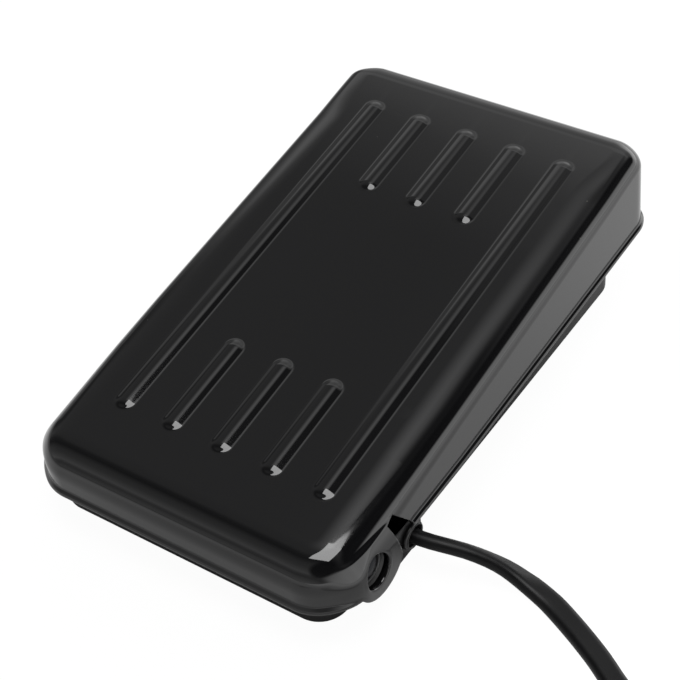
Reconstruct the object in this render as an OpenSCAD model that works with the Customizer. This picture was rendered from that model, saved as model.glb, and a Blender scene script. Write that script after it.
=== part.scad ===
// Foot pedal of a sewing machine: a ribbed steel cover that tilts on a low steel tray,
// with a carbon-pile rheostat, its lever and the mains cord. All sizes in millimetres.
// Frame: +X towards the cord's side, +Y to the rear, +Z up, origin on the floor under the middle.

/* [Cover] */
// Width over the hem
cover_w = 86; // [84:0.5:92]
// Length over the hem, along the rim
cover_l = 146; // [144:0.5:154]
// Height of the top plane above the rim, at the front edge
cover_front_h = 11.1; // [10.8:0.1:13]
// Slope of the top against the rim, in degrees
cover_wedge = 5.1; // [4.8:0.1:6]
// Lean of the walls, in degrees
cover_draft = 0.8; // [0.2:0.1:1.2]
// Plan radius of the rim's corners
cover_corner_r = 11.3; // [10:0.1:13]
// Radius of the edge between the top and the walls
cover_edge_r = 7.6; // [6.5:0.1:8]
// Sheet thickness of the cover
cover_t = 1; // [0.8:0.05:1.2]
// Height of the flared hem
hem_h = 2; // [1.5:0.1:3]
// How far the hem stands proud of the wall
hem_out = 0.5; // [0.3:0.05:0.8]
// Height of the rim's front edge above the floor
rim_z = 11.1; // [10.8:0.1:13]
// Tilt of the rim at rest, in degrees
rest_tilt = 2.9; // [2.6:0.1:4]

/* [Ribs] */
// Distance between neighbouring ribs
rib_pitch = 13.5; // [12:0.1:14]
// Width of a rib at its foot
rib_w = 6.1; // [5:0.1:7]
// Height of a rib above the top
rib_h = 1.2; // [0.8:0.1:1.5]
// Front end of the ribs, from the cover's front edge
rib_start = 21.5; // [19:0.5:24]
// Length of a short rib between the centres of its ends
rib_short_l = 23.2; // [18:0.1:26]
// Plain length of the top between the short ribs
rib_plain_l = 58.2; // [50:0.1:60]

/* [Hinge] */
// Hinge axis behind the cover's front edge
hinge_back = 15.1; // [14.5:0.1:16.5]
// Hinge axis above the rim
hinge_up = 2.65; // [2.4:0.05:3]
// Radius of the ears' round ends
ear_r = 8.4; // [7.5:0.1:9]
// How far an ear stands out from the wall
ear_step = 1.5; // [1.2:0.1:2]
// Height of the ear's face above the hinge axis
ear_top = 6; // [5:0.1:6.5]
// Width of the sloping edge around an ear
ear_slope = 2.6; // [1.5:0.1:3]
// Reach of the ear's heel behind the hinge axis, at the rim
ear_heel = 12; // [11:0.1:13]
// Bore of the ears
ear_bore_d = 8.8; // [8:0.1:9.4]
// Length of the collar drawn inwards around the bore
collar_l = 2.6; // [2.2:0.05:2.7]
// Radial clearance of the studs in the ears
stud_clearance = 0.05; // [0.02:0.01:0.08]
// How deep the studs' domes lie below the ears' faces
stud_recess = 1; // [0.8:0.1:1.4]
// Shank diameter of the studs
stud_shank_d = 3.8; // [3.4:0.1:4]

/* [Tray] */
// How far the tray's sides lie inside the cover's hem
tray_side = 5; // [4.5:0.1:6]
// How far the tray's front lies inside the cover's hem
tray_front = 4.1; // [3.6:0.1:4.6]
// How far the tray's rear lies inside the cover's hem
tray_rear = 11.9; // [11.4:0.1:13]
// Height of the tray's walls, from its underside
tray_h = 13; // [12:0.1:13.4]
// Sheet thickness of the tray
tray_t = 1; // [0.8:0.05:1.2]
// Plan radius of the tray's corners
tray_corner_r = 7.5; // [6:0.1:9]
// Gap between the tray's hinge wings and the cover's walls
wing_gap = 0.5; // [0.35:0.05:0.6]
// Reach of the stop lip behind the tray
lip_l = 2.2; // [1.8:0.1:2.4]
// Width of the stop lip
lip_w = 24; // [20:0.5:30]

/* [Feet] */
// Height of the rubber feet
foot_h = 3; // [2.5:0.1:3.5]
// Diameter of the rubber feet
foot_d = 12; // [10:0.5:14]
// Distance of the feet from the tray's sides
foot_side = 10; // [9:0.5:12]
// Distance of the feet from the tray's ends
foot_end = 12; // [9:0.5:13]
// Shank diameter of the feet's screws
foot_screw_d = 3; // [2.5:0.1:3.5]

/* [Rheostat] */
// Width of the ceramic block
block_w = 44; // [42:0.5:50]
// Length of the ceramic block
block_l = 46; // [44:0.5:48]
// Height of the ceramic block
block_h = 14; // [13.4:0.1:14.4]
// Block's rear face in front of the tray's rear
block_in = 27; // [26.5:0.5:29]
// Distance between the two carbon piles
pile_span = 20; // [18:0.5:22]
// Diameter of a carbon disc
disc_d = 9; // [8:0.1:9.4]
// Thickness of a carbon disc
disc_t = 2.2; // [1.8:0.1:2.3]
// Discs in a pile
disc_count = 18; // [14:1:18]
// Radial clearance of the discs in the block
disc_clearance = 0.2; // [0.1:0.05:0.3]

/* [Lever] */
// Sheet thickness of the lever
lever_t = 1.2; // [1:0.1:1.4]
// Lever's pivot behind the block
pivot_back = 9.5; // [9.2:0.1:10]
// Lever's pivot above the tray's floor
pivot_up = 3.4; // [3.2:0.1:3.8]
// Underside of the lever's arm above the block
arm_up = 4.5; // [4.2:0.1:5]
// Yoke's place in front of the block
yoke_front = 6; // [5.5:0.1:7]
// Free height of the arm in the yoke's slot, above and below
yoke_play = 0.45; // [0.4:0.05:0.6]
// Diameter of the lever's pin
pin_d = 3; // [2.6:0.1:3.4]
// Radial clearance of the pin in the lever
pin_clearance = 0.05; // [0.03:0.01:0.08]
// Gap between the contact bridge and the buttons at rest
bridge_gap = 0.6; // [0.45:0.05:0.9]

/* [Return spring] */
// Outer diameter of the spring
spring_d = 9; // [8:0.1:9.4]
// Wire diameter of the spring
spring_wire = 1.1; // [0.9:0.05:1.3]
// Turns of the spring
spring_turns = 8; // [6:1:10]
// Spring's axis in front of the tray's rear
spring_in = 8.2; // [8:0.1:8.6]

/* [Cord] */
// Width of the flat cord
cord_w = 5.4; // [5:0.1:5.5]
// Thickness of the flat cord
cord_t = 3.2; // [2.8:0.1:3.3]
// Diameter of the grommet's flange
grommet_d = 8.8; // [8:0.1:9]

/* [Plug] */
// Width of the plug's body
plug_w = 26; // [24:0.5:30]
// Height of the plug's body
plug_h = 13; // [12.6:0.1:13]
// Length of the plug's body
plug_l = 32; // [30:0.5:36]
// Diameter of a pin
plug_pin_d = 4; // [3.6:0.1:4.8]
// Length of a pin
plug_pin_l = 19; // [17:0.5:20]
// Distance between the pins
plug_pin_pitch = 18; // [16:0.5:18]

/* [Hidden] */
$fn = 64;
eps = 0.01;
fit = 0.03;        // radial clearance of screws and rivets in their holes
seat = 0.1;        // small gap between pieces that rest on each other

// Cover's frame: y along the rim from the front edge, z square to the rim
wall_x = cover_w / 2 - hem_out;
wall_r = cover_corner_r - hem_out;
y_front = -cover_l * cos(rest_tilt) / 2;
top_tilt = rest_tilt + cover_wedge;
rib_end = rib_start + 2 * rib_short_l + rib_plain_l;
rib_r = (rib_w * rib_w / 4 + rib_h * rib_h) / (2 * rib_h);
ribs = concat(
    [for (k = [-2, 2]) [k, rib_start, rib_end]],
    [for (k = [-1:1]) [k, rib_start, rib_start + rib_short_l]],
    [for (k = [-1:1]) [k, rib_end - rib_short_l, rib_end]]);
ear_face = wall_x + ear_step;
corner_steps = 10;
edge_steps = 8;

// Hinge axis and roof of the cover, in the part's frame at rest
hinge_y = y_front + hinge_back * cos(rest_tilt) - hinge_up * sin(rest_tilt);
hinge_z = rim_z + hinge_back * sin(rest_tilt) + hinge_up * cos(rest_tilt);
roof_0 = rim_z + cover_front_h * cos(rest_tilt)
    + (cover_front_h * sin(rest_tilt) - y_front) * tan(top_tilt) - cover_t / cos(top_tilt);

// Tray
floor_z = foot_h + tray_t;
tray_top = foot_h + tray_h;
tray_w = cover_w - 2 * tray_side;
tray_l = cover_l - tray_front - tray_rear;
tray_y0 = y_front + tray_front;
tray_y1 = tray_y0 + tray_l;
wing_x = wall_x - cover_t - wing_gap;
wing_y0 = hinge_y - 3.6;
wing_y1 = hinge_y + 22;
wing_end_h = 10;
wing_top = hinge_z + 3.3;
lip_y = tray_y1 + lip_l;

// Rheostat and lever
block_y1 = tray_y1 - block_in;
block_y0 = block_y1 - block_l;
block_top = floor_z + block_h;
pile_x = pile_span / 2;
pile_z = floor_z + block_h / 2;
bore_r = disc_d / 2 + disc_clearance;
pile_l = disc_count * (disc_t + eps);
pile_y0 = (block_y0 + block_y1 - pile_l) / 2;
button_out = 2;
bridge_y = block_y1 + button_out + bridge_gap;
bridge_t = 1;
bridge_half = pile_x + disc_d / 2 + 0.5;
bridge_h = disc_d * 0.55;
insulator_t = 1.4;
insulator_edge = 1;
terminal_t = 1.2;
lever_y = bridge_y + bridge_t + insulator_t;
pivot_y = block_y1 + pivot_back;
pivot_z = floor_z + pivot_up;
arm_z = block_top + arm_up;
yoke_y = block_y0 - yoke_front;
yoke_w = 16;
yoke_flange = 10;
tongue_half = 4.6;
tongue_end = 4;
plate_half = bridge_half + insulator_edge;
plate_low = pile_z - bridge_h / 2 - insulator_edge;
plate_high = pile_z + bridge_h / 2 + insulator_edge;
cheek_x = yoke_w / 2;
cheek_r = pin_d / 2 + 1.4;
bracket_x = cheek_x + lever_t + 1.8;
bracket_t = 1.2;
bracket_half = 3;
bracket_l = 8;
bracket_rivet_d = 2.6;
bracket_rivet_x = bracket_x + bracket_l - 3;
rivet_d = 1.8;
rivet_x = 3.5;
block_screw_d = 3;
block_screw_in = 6;
block_screw_sink = 2.6;
terminal_screw_d = 3;
terminal_screw_l = 8;
terminal_screw_x = pile_x + bore_r + 3.2;

// Spring
spring_y = tray_y1 - spring_in;
spring_r = (spring_d - spring_wire) / 2;
cup_t = 2;
cup_skirt = 4;
cup_r = spring_d / 2 + 2;
spring_z0 = floor_z + seat;
spring_z1 = roof(spring_y - cup_r - 1) - cup_t - seat;

// Cord: the exit is the middle of its hole in the right wing, and its places are counted from there
exit_back = 31.4;
exit_up = 4.6;
exit_at = [wing_x, y_front + exit_back, foot_h + exit_up];
// Route from the clamp to the coil: [x, y] from the exit, height above the floor, turn of the flat side
lead_points = [
    [-19, 0, 5.7, 0], [-14, 0, 5.7, 0], [-10, 0, 5.8, 5], [-6.5, 0, 6.9, 25], [-3.5, 0, 7.6, 45],
    [2.5, 0, 7.6, 45], [7, 0.9, 7.5, 45], [12, 2.5, 6.8, 45], [16.5, 3.9, 5.6, 42], [20.5, 4.8, 4.3, 35],
    [24, 4.9, 3.2, 25], [27, 4.6, 2.5, 15], [31, 3.7, 1.9, 6], [34.3, 2.5, 1.7, 0], [41, -0.8, 1.7, 0],
    [47.8, -4.6, 1.7, 0], [52.3, -7.6, 1.7, 0], [59, -11.8, 1.8, 0], [69, -18.2, 2, 0], [76, -22.7, 2.2, 0],
    [82.8, -27.2, 2.2, 0]];
// Route from the coil to the plug
tail_points = [
    [90.8, -32.8, 5, 0], [99.3, -43.3, 3.8, 0], [103.8, -57.3, 2.6, 0], [101.8, -71.8, 2, 0],
    [94.8, -84.8, 1.7, 0], [83.3, -94.5, 1.7, 0], [69.8, -100.3, 1.7, 0], [59.8, -101.3, 1.8, 0],
    [53.3, -101.3, 2.6, 0], [47.3, -101.3, 4.4, 0], [42.3, -101.3, 6.1, 0], [38.8, -101.3, 6.5, 0]];
coil_from_exit = [61.8, -57.3];
plug_from_exit = [17.8, -101.3];
relief_l = 22;
plug_z = 6.5;
pin_root = 10;
coil_turns_wide = 3;
coil_turns_high = 2;
coil_mid_r = 31.4;
tie_t = 0.6;
tie_w = 6;
cord_sides = 12;
neck_r = cord_w / 2 + 0.45;
coil_at = [exit_at[0] + coil_from_exit[0], exit_at[1] + coil_from_exit[1], 0];
plug_at = [exit_at[0] + plug_from_exit[0], exit_at[1] + plug_from_exit[1], plug_z];

// Clamp on the cord inside the tray
clamp_l = 5;
clamp_at = [exit_at[0] - 15, exit_at[1], floor_z];
clamp_t = 1;
clamp_half = 10;
clamp_in_w = cord_w / 2 + 0.3;
clamp_in_h = lead_points[1][2] + cord_t / 2 + 0.4 - floor_z;
clamp_screw_d = 3;
clamp_screw_y = 7;

// Leads from the cord's end to the terminals: [x, share of the way from the exit to the block, height]
wire_d = 2.2;
wire_sides = 8;
wire_up = 15;
right_wire = [
    [-19.1, 0.04, 5.7], [-21.5, 0.05, 5.7], [-23.5, 0.14, 6.2], [-23.8, 0.34, 8], [-23.6, 0.6, 11.5],
    [-23.5, 0.8, 14.4]];
left_wire = [
    [-19.1, -0.04, 5.7], [-21.5, -0.05, 5.7], [-29, -0.15, 5.8], [-43, -0.15, 6], [-53, 0.05, 7],
    [-58, 0.4, 10], [-58.5, 0.8, 14.4]];

// A route counted from the cord's exit, in the part's frame
function from_exit(points) = [for (p = points) [p[0] + exit_at[0], p[1] + exit_at[1], p[2], p[3]]];
// A lead counted from the cord's exit and the block's front, ending at the block
function lead_to_block(points) = let(
        way = block_y0 - terminal_t - eps - exit_at[1],
        last = points[len(points) - 1])
    concat(
        [for (p = points) [p[0] + exit_at[0], p[1] * way + exit_at[1], p[2]]],
        [[last[0] + exit_at[0], way + exit_at[1], wire_up]]);
// Height of the cover's top over its rim, in the cover's frame
function cover_top(y) = cover_front_h + y * tan(cover_wedge);
// Height of the underside of the cover's top, in the part's frame
function roof(y) = roof_0 + y * tan(top_tilt);
// Place of a tilted strip on the roof whose middle passes y at height z
function hang_y(y, z) = (y - (roof_0 - z) * tan(top_tilt)) / (1 + pow(tan(top_tilt), 2));
function unit(v) = v / norm(v);
// Direction of a route at its point i
function heading(route, i) = unit([for (k = [0:2])
    route[min(i + 1, len(route) - 1)][k] - route[max(i - 1, 0)][k]]);
// Points of an oval ring, w wide and t thick, at point i of a route
function ring(route, i, w, t, sides) = let(
        d = heading(route, i),
        side = unit(cross(d, [0, 0, 1])),
        up = cross(side, d),
        turn = len(route[i]) > 3 ? route[i][3] : 0)
    [for (k = [0:sides - 1]) let(
            a = 360 * k / sides,
            u = w / 2 * cos(a),
            v = t / 2 * sin(a))
        [for (n = [0:2]) route[i][n] + side[n] * (u * cos(turn) - v * sin(turn))
            + up[n] * (u * sin(turn) + v * cos(turn))]];

// A tube of oval section swept along a route
module sweep(route, w, t, sides) {
    n = len(route);
    polyhedron(
        points = [for (i = [0:n - 1]) each ring(route, i, w, t, sides)],
        faces = concat(
            [[for (k = [0:sides - 1]) k]],
            [for (i = [0:n - 2], k = [0:sides - 1]) let(
                    a = i * sides + k,
                    b = i * sides + (k + 1) % sides)
                each [[a, a + sides, b], [b, a + sides, b + sides]]],
            [[for (k = [sides - 1:-1:0]) (n - 1) * sides + k]]));
}

// A plate with round corners, centred across and running from y = 0
module rounded_plate(w, l, r) {
    translate([-w / 2, r]) square([w, l - 2 * r]);
    translate([r - w / 2, 0]) square([w - 2 * r, l]);
    for (x = [r - w / 2, w / 2 - r], y = [r, l - r]) translate([x, y]) circle(r);
}

// A cylinder along +X from the given point
module rod_x(at, r, l) translate(at) rotate([0, 90, 0]) cylinder(r = r, h = l);

// A cylinder along +Y from the given point
module rod_y(at, r, l) translate(at) rotate([-90, 0, 0]) cylinder(r = r, h = l);

// An outline given in Y and Z, extruded along +X
module along_x(l) rotate([90, 0, 90]) linear_extrude(l) children();

// The same thing on both sides
module both_sides() for (s = [0, 1]) mirror([s, 0, 0]) children();

module cover_frame() translate([0, y_front, rim_z]) rotate([rest_tilt, 0, 0]) children();

// A frame on the underside of the cover's top, at y
module roof_frame(y) translate([0, y, roof(y)]) rotate([top_tilt, 0, 0]) children();

// A loop around the cover's edge: place a of the edge's quarter round, in degrees, or the rim for a below 0
function cover_loop(inset, a) = [for (c = [0:3], k = [0:corner_steps]) let(
        phi = 90 * (c - 1 + k / corner_steps),
        x = (c < 2 ? 1 : -1) * (cover_w / 2 - cover_corner_r),
        y = c == 0 || c == 3 ? cover_corner_r : cover_l - cover_corner_r,
        mid_z = cover_top(y) - cover_edge_r / cos(cover_wedge),
        round_r = cover_edge_r - inset,
        reach = wall_r - mid_z * tan(cover_draft) - cover_edge_r + round_r * cos(a),
        lift = round_r * sin(a),
        v = reach * sin(phi))
    a < 0
        ? [x + (wall_r - inset) * cos(phi), y + (wall_r - inset) * sin(phi), -inset]
        : [x + reach * cos(phi), y + v * cos(cover_wedge) - lift * sin(cover_wedge),
            mid_z + v * sin(cover_wedge) + lift * cos(cover_wedge)]];

// The cover without ribs as a solid, its skin moved inwards by inset
module cover_mass(inset) {
    loops = concat(
        [cover_loop(inset, -1)],
        [for (i = [0:edge_steps]) cover_loop(inset, 90 * i / edge_steps)]);
    rows = len(loops);
    n = len(loops[0]);
    polyhedron(
        points = [for (loop = loops) each loop],
        faces = concat(
            [[for (k = [0:n - 1]) k]],
            [for (i = [0:rows - 2], k = [0:n - 1]) let(
                    p = i * n + k,
                    q = i * n + (k + 1) % n)
                each [[p, p + n, q], [q, p + n, q + n]]],
            [[for (k = [n - 1:-1:0]) (rows - 1) * n + k]]));
}

// A rib as a sunken round bar with round ends
module rib_bar(rib, inset) {
    bar_l = (rib[2] - rib[1]) / cos(cover_wedge);
    bar_r = rib_r - inset;
    translate([rib[0] * rib_pitch, rib[1], cover_top(rib[1])]) rotate([cover_wedge, 0, 0])
        translate([0, 0, rib_h - rib_r]) rotate([-90, 0, 0]) rotate_extrude() intersection() {
            union() {
                circle(bar_r);
                translate([0, bar_l]) circle(bar_r);
                translate([0, 0]) square([bar_r, bar_l]);
            }
            translate([0, -bar_r]) square([bar_r, bar_l + 2 * bar_r]);
        }
}

// The raised field of the wall that carries an ear, its skin moved inwards by inset
module ear_field(inset) {
    low = -hinge_up - inset;
    turn = 55;
    corner_x = cover_w / 2 - cover_corner_r + (wall_r - inset) * cos(turn);
    corner_y = cover_corner_r - (wall_r - inset) * sin(turn);
    foot_top = ear_top + ear_slope / 2 - inset;
    face_top = ear_top - ear_slope / 2 - inset;
    hull() {
        translate([wall_x - cover_t - inset, hinge_back, hinge_up]) along_x(cover_t) polygon([
            [0, low], [ear_heel + ear_slope - inset, low], [ear_r + ear_slope / 2 - inset, foot_top],
            [0, foot_top]]);
        translate([ear_face - cover_t - inset, hinge_back, hinge_up]) along_x(cover_t) polygon([
            [inset - ear_r, low], [ear_heel - inset, low], [ear_r - ear_slope - inset, face_top],
            [ear_slope + inset - ear_r, face_top]]);
        translate([corner_x - cover_t, corner_y, -inset]) cube([cover_t, cover_t, hinge_up + ear_slope]);
    }
}

// The flat tongue that hangs below the rim
module ear_tongue() translate([ear_face - cover_t, hinge_back, hinge_up]) along_x(cover_t) {
    circle(ear_r);
    polygon([[-ear_r, 0], [0.75 * ear_r, -0.66 * ear_r], [ear_heel, -hinge_up / 3], [ear_heel, 0],
        [ear_r - ear_slope, ear_top - ear_slope], [ear_slope - ear_r, ear_top - ear_slope]]);
}

module cover() color("#101011") cover_frame() difference() {
    union() {
        difference() {
            union() {
                cover_mass(0);
                linear_extrude(hem_h) rounded_plate(cover_w, cover_l, cover_corner_r);
                for (rib = ribs) rib_bar(rib, 0);
                both_sides() ear_field(0);
            }
            cover_mass(cover_t);
            for (rib = ribs) rib_bar(rib, cover_t);
            both_sides() ear_field(cover_t);
        }
        both_sides() ear_tongue();
        both_sides() rod_x([ear_face - collar_l, hinge_back, hinge_up],
            ear_bore_d / 2 + cover_t, collar_l - cover_t / 2);
    }
    rod_x([-cover_w, hinge_back, hinge_up], ear_bore_d / 2, 2 * cover_w);
    // notch over the cord
    rod_x([wall_x - 2 * cover_t, exit_back / cos(rest_tilt), -1], grommet_d / 2, 4 * cover_t);
}

// Bracket under the cover with a slot for the lever's arm
module push_yoke() color("#9a9ca0") {
    slot_mid = (arm_z + lever_t / 2 - roof(yoke_y)) / cos(top_tilt);
    slot_h = lever_t + 2 * yoke_play;
    web_h = slot_h / 2 - slot_mid + 1.6;
    roof_frame(yoke_y) difference() {
        union() {
            translate([-yoke_w / 2, -lever_t / 2, -web_h]) cube([yoke_w, lever_t, web_h]);
            translate([-yoke_w / 2, -lever_t / 2, -lever_t]) cube([yoke_w, yoke_flange, lever_t]);
        }
        translate([-tongue_half - yoke_play, -lever_t, slot_mid - slot_h / 2])
            cube([2 * (tongue_half + yoke_play), 2 * lever_t, slot_h]);
    }
}

// Cup under the cover that holds the spring's upper end
module spring_cup() color("#9a9ca0") difference() {
    translate([0, spring_y, spring_z1 + seat - cup_skirt]) cylinder(r = cup_r + 1, h = cup_skirt + 8);
    translate([0, spring_y, spring_z1 + seat - 2 * cup_skirt]) cylinder(r = cup_r, h = 2 * cup_skirt);
    roof_frame(spring_y) translate([-cup_r - 2, -cup_r - 4, 0]) cube([2 * cup_r + 4, 2 * cup_r + 8, 20]);
}

// Strip under the cover whose toe catches under the tray's lip
module limit_hook() color("#9a9ca0") {
    hook_t = 1.2;
    hook_gap = 1.6;
    toe_gap = 0.3;
    toe_z = tray_top - tray_t - toe_gap;
    hook_y = hang_y(lip_y + hook_gap + hook_t / 2, toe_z);
    drop = (roof(hook_y) - toe_z) / cos(top_tilt) + hook_t;
    hook_w = lip_w - 4;
    toe_l = hook_gap + 0.6 * lip_l + hook_t / 2;
    roof_frame(hook_y) {
        translate([-hook_w / 2, -hook_t / 2, -drop]) cube([hook_w, hook_t, drop]);
        translate([-hook_w / 2, -toe_l, -drop]) cube([hook_w, toe_l, hook_t]);
    }
}

module base_tray() color("#141415") difference() {
    union() {
        difference() {
            translate([0, tray_y0, foot_h]) linear_extrude(tray_h)
                rounded_plate(tray_w, tray_l, tray_corner_r);
            translate([0, tray_y0 + tray_t, floor_z]) linear_extrude(tray_h)
                rounded_plate(tray_w - 2 * tray_t, tray_l - 2 * tray_t, tray_corner_r - tray_t);
            both_sides() translate([tray_w / 2 - 2 * tray_t, wing_y0 + tray_t, floor_z])
                cube([4 * tray_t, wing_y1 - wing_y0 - 2 * tray_t, tray_h]);
        }
        both_sides() hinge_wing();
        translate([-lip_w / 2, tray_y1 - tray_t, tray_top - tray_t]) cube([lip_w, lip_l + tray_t, tray_t]);
        translate([0, spring_y, foot_h]) cylinder(r = spring_d / 2 - spring_wire - 0.3, h = tray_t + 2.5);
    }
    rod_x([-cover_w, hinge_y, hinge_z], stud_shank_d / 2 + fit, 2 * cover_w);
    rod_x([exit_at[0] - 2 * tray_t, exit_at[1], exit_at[2]], neck_r + fit, 4 * tray_t);
    foot_places() floor_hole(foot_screw_d);
    block_screw_places() floor_hole(block_screw_d);
    clamp_screw_places() floor_hole(clamp_screw_d);
    bracket_rivet_places() floor_hole(bracket_rivet_d);
}

// Hole through the tray's floor for a screw or rivet
module floor_hole(d) translate([0, 0, foot_h - tray_t]) cylinder(r = d / 2 + fit, h = 3 * tray_t);

// Side wing of the tray that carries a pivot stud
module hinge_wing() {
    wing_h = foot_h + wing_end_h;
    translate([wing_x - tray_t, 0, 0]) along_x(tray_t) polygon([
        [wing_y0, foot_h], [wing_y1, foot_h], [wing_y1, wing_h], [hinge_y + 9, wing_h],
        [hinge_y + 3.6, wing_top], [wing_y0, wing_top]]);
    translate([tray_w / 2 - tray_t, wing_y0, foot_h])
        cube([wing_x - tray_w / 2 + tray_t, wing_y1 - wing_y0, tray_t]);
    for (y = [wing_y0, wing_y1 - tray_t]) translate([tray_w / 2 - tray_t, y, foot_h])
        cube([wing_x - tray_w / 2 + tray_t, tray_t, wing_end_h]);
}

// Shouldered studs, riveted in the wings, with domed ends
module pivot_studs() color("#4a4b4e") both_sides() translate([0, hinge_y, hinge_z]) rotate([0, 90, 0]) {
    journal_r = ear_bore_d / 2 - stud_clearance;
    dome_h = 0.9;
    dome_r = (journal_r * journal_r + dome_h * dome_h) / (2 * dome_h);
    tip = ear_face - stud_recess;
    rotate_extrude() {
        translate([0, wing_x - tray_t - 0.9]) square([stud_shank_d / 2 + 1.2, 0.9]);
        translate([0, wing_x - tray_t - 0.5]) square([stud_shank_d / 2, tray_t + 1]);
        intersection() {
            translate([0, wing_x]) square([journal_r, tip - wing_x]);
            translate([0, tip - dome_r]) circle(dome_r, $fn = 128);
        }
    }
}

module foot_places() for (
        x = [foot_side - tray_w / 2, tray_w / 2 - foot_side],
        y = [tray_y0 + foot_end, tray_y1 - foot_end])
    translate([x, y, 0]) children();

module rubber_feet() color("#1b1b1c") foot_places() rotate_extrude() difference() {
    polygon([[0, 0], [foot_d / 2 - 0.5, 0], [foot_d / 2, 0.5], [foot_d / 2 - 1, foot_h], [0, foot_h]]);
    translate([-1, -1]) square([foot_screw_d / 2 + fit + 1, foot_h + 2]);
    translate([-1, -1]) square([foot_screw_d + 0.2 + 1, 2.4]);
}

module foot_screws() color("#b4b6ba") foot_places() {
    translate([0, 0, 0.4]) cylinder(r = foot_screw_d, h = 1);
    translate([0, 0, 0.4]) cylinder(r = foot_screw_d / 2, h = foot_h + tray_t + 2);
}

// Coil spring between the tray and the cup
module return_spring() color("#c4c6ca") {
    steps = 16;
    last = spring_turns * steps;
    rise = spring_z1 - spring_z0 - spring_wire;
    route = [for (i = [0:last]) let(a = 360 * i / steps) [
        spring_r * cos(a), spring_y + spring_r * sin(a),
        spring_z0 + spring_wire / 2 + rise * min(max((i - steps) / (last - 2 * steps), 0), 1)]];
    sweep(route, spring_wire, spring_wire, 6);
}

module block_screw_places() for (y = [block_y0 + block_screw_in, block_y1 - block_screw_in])
    translate([0, y, 0]) children();

module rheostat_block() color("#ded9cf") difference() {
    bevel = 1.5;
    translate([0, block_y1, floor_z]) rotate([90, 0, 0]) linear_extrude(block_l) polygon([
        [-block_w / 2, 0], [block_w / 2, 0], [block_w / 2, block_h - bevel], [block_w / 2 - bevel, block_h],
        [bevel - block_w / 2, block_h], [-block_w / 2, block_h - bevel]]);
    both_sides() rod_y([pile_x, block_y0 - 1, pile_z], bore_r, block_l + 2);
    both_sides() rod_y([terminal_screw_x, block_y0 - 1, pile_z],
        terminal_screw_d / 2 + fit, terminal_screw_l + 1 + fit);
    block_screw_places() {
        translate([0, 0, foot_h]) cylinder(r = block_screw_d / 2 + fit, h = 3 * block_h);
        translate([0, 0, block_top - block_screw_sink]) cylinder(r = block_screw_d + 0.2, h = block_h);
    }
}

module carbon_discs() color("#2a2a2c") both_sides() for (i = [0:disc_count - 1])
    rod_y([pile_x, pile_y0 + i * (disc_t + eps), pile_z], disc_d / 2, disc_t);

// Domed buttons at the rear end of the piles
module contact_buttons() color("#b08d4a") both_sides() {
    start = pile_y0 + pile_l;
    tip = block_y1 + button_out;
    dome_r = 1.3 * disc_d;
    translate([pile_x, 0, pile_z]) rotate([-90, 0, 0]) rotate_extrude() intersection() {
        translate([0, start]) square([disc_d / 2, tip - start]);
        translate([0, tip - dome_r]) circle(dome_r, $fn = 128);
    }
}

// Plates that close the piles' front ends and take the leads
module terminal_plates() color("#b99a4e") both_sides() difference() {
    edge = terminal_screw_d;
    union() {
        translate([pile_x - bore_r, block_y0 - terminal_t, pile_z - bore_r])
            cube([terminal_screw_x + edge - pile_x + bore_r, terminal_t, 2 * bore_r]);
        rod_y([pile_x, block_y0 - terminal_t, pile_z], disc_d / 2, pile_y0 - eps - block_y0 + terminal_t);
    }
    rod_y([terminal_screw_x, block_y0 - 2 * terminal_t, pile_z],
        terminal_screw_d / 2 + fit, 4 * terminal_t);
}

module terminal_screws() color("#c9b06a") both_sides() {
    head_h = 1.8;
    head_y = block_y0 - terminal_t - head_h;
    rod_y([terminal_screw_x, head_y, pile_z], terminal_screw_d * 0.87, head_h);
    rod_y([terminal_screw_x, head_y, pile_z],
        terminal_screw_d / 2, head_h + terminal_t + terminal_screw_l - 1);
}

module block_screws() color("#b4b6ba") block_screw_places() {
    head_h = block_screw_sink - 0.8;
    translate([0, 0, block_top - block_screw_sink]) cylinder(r = block_screw_d - 0.1, h = head_h);
    translate([0, 0, foot_h + 0.2])
        cylinder(r = block_screw_d / 2, h = block_top - block_screw_sink - foot_h);
}

// Sheet lever: an upright that carries the contact bridge, an arm over the block and two cheeks at the pin
module lever() color("#a6a8ac") difference() {
    half = yoke_w / 2;
    neck_z = plate_high + 3;
    arm_y = lever_y + lever_t;
    tip_y = yoke_y - tongue_end;
    union() {
        translate([0, arm_y, 0]) rotate([90, 0, 0]) linear_extrude(lever_t) polygon([
            [-plate_half, plate_low], [plate_half, plate_low], [plate_half, plate_high], [half, neck_z],
            [half, arm_z + lever_t], [-half, arm_z + lever_t], [-half, neck_z], [-plate_half, plate_high]]);
        translate([0, 0, arm_z]) linear_extrude(lever_t) polygon([
            [-half, arm_y], [-half, block_y0 + half], [-tongue_half, block_y0], [-tongue_half, tip_y],
            [tongue_half, tip_y], [tongue_half, block_y0], [half, block_y0 + half], [half, arm_y]]);
        both_sides() translate([cheek_x, 0, 0]) along_x(lever_t) {
            translate([pivot_y, pivot_z]) circle(cheek_r);
            polygon([[arm_y - lever_t / 2, plate_low], [pivot_y, pivot_z - 0.3 * cheek_r],
                [pivot_y + 0.7 * cheek_r, pivot_z + 0.3 * cheek_r], [arm_y, neck_z],
                [arm_y - lever_t / 2, neck_z]]);
        }
    }
    rod_x([-cover_w, pivot_y, pivot_z], pin_d / 2 + pin_clearance, 2 * cover_w);
    rivet_holes();
}

module lever_pin() color("#c4c6ca") {
    head_t = 0.9;
    half = bracket_x + bracket_t + seat / 2;
    rod_x([-half - head_t, pivot_y, pivot_z], pin_d / 2, 2 * (half + head_t));
    both_sides() rod_x([half, pivot_y, pivot_z], pin_d / 2 + 0.5, head_t);
}

module bracket_rivet_places() both_sides() translate([bracket_rivet_x, pivot_y, 0]) children();

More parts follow.
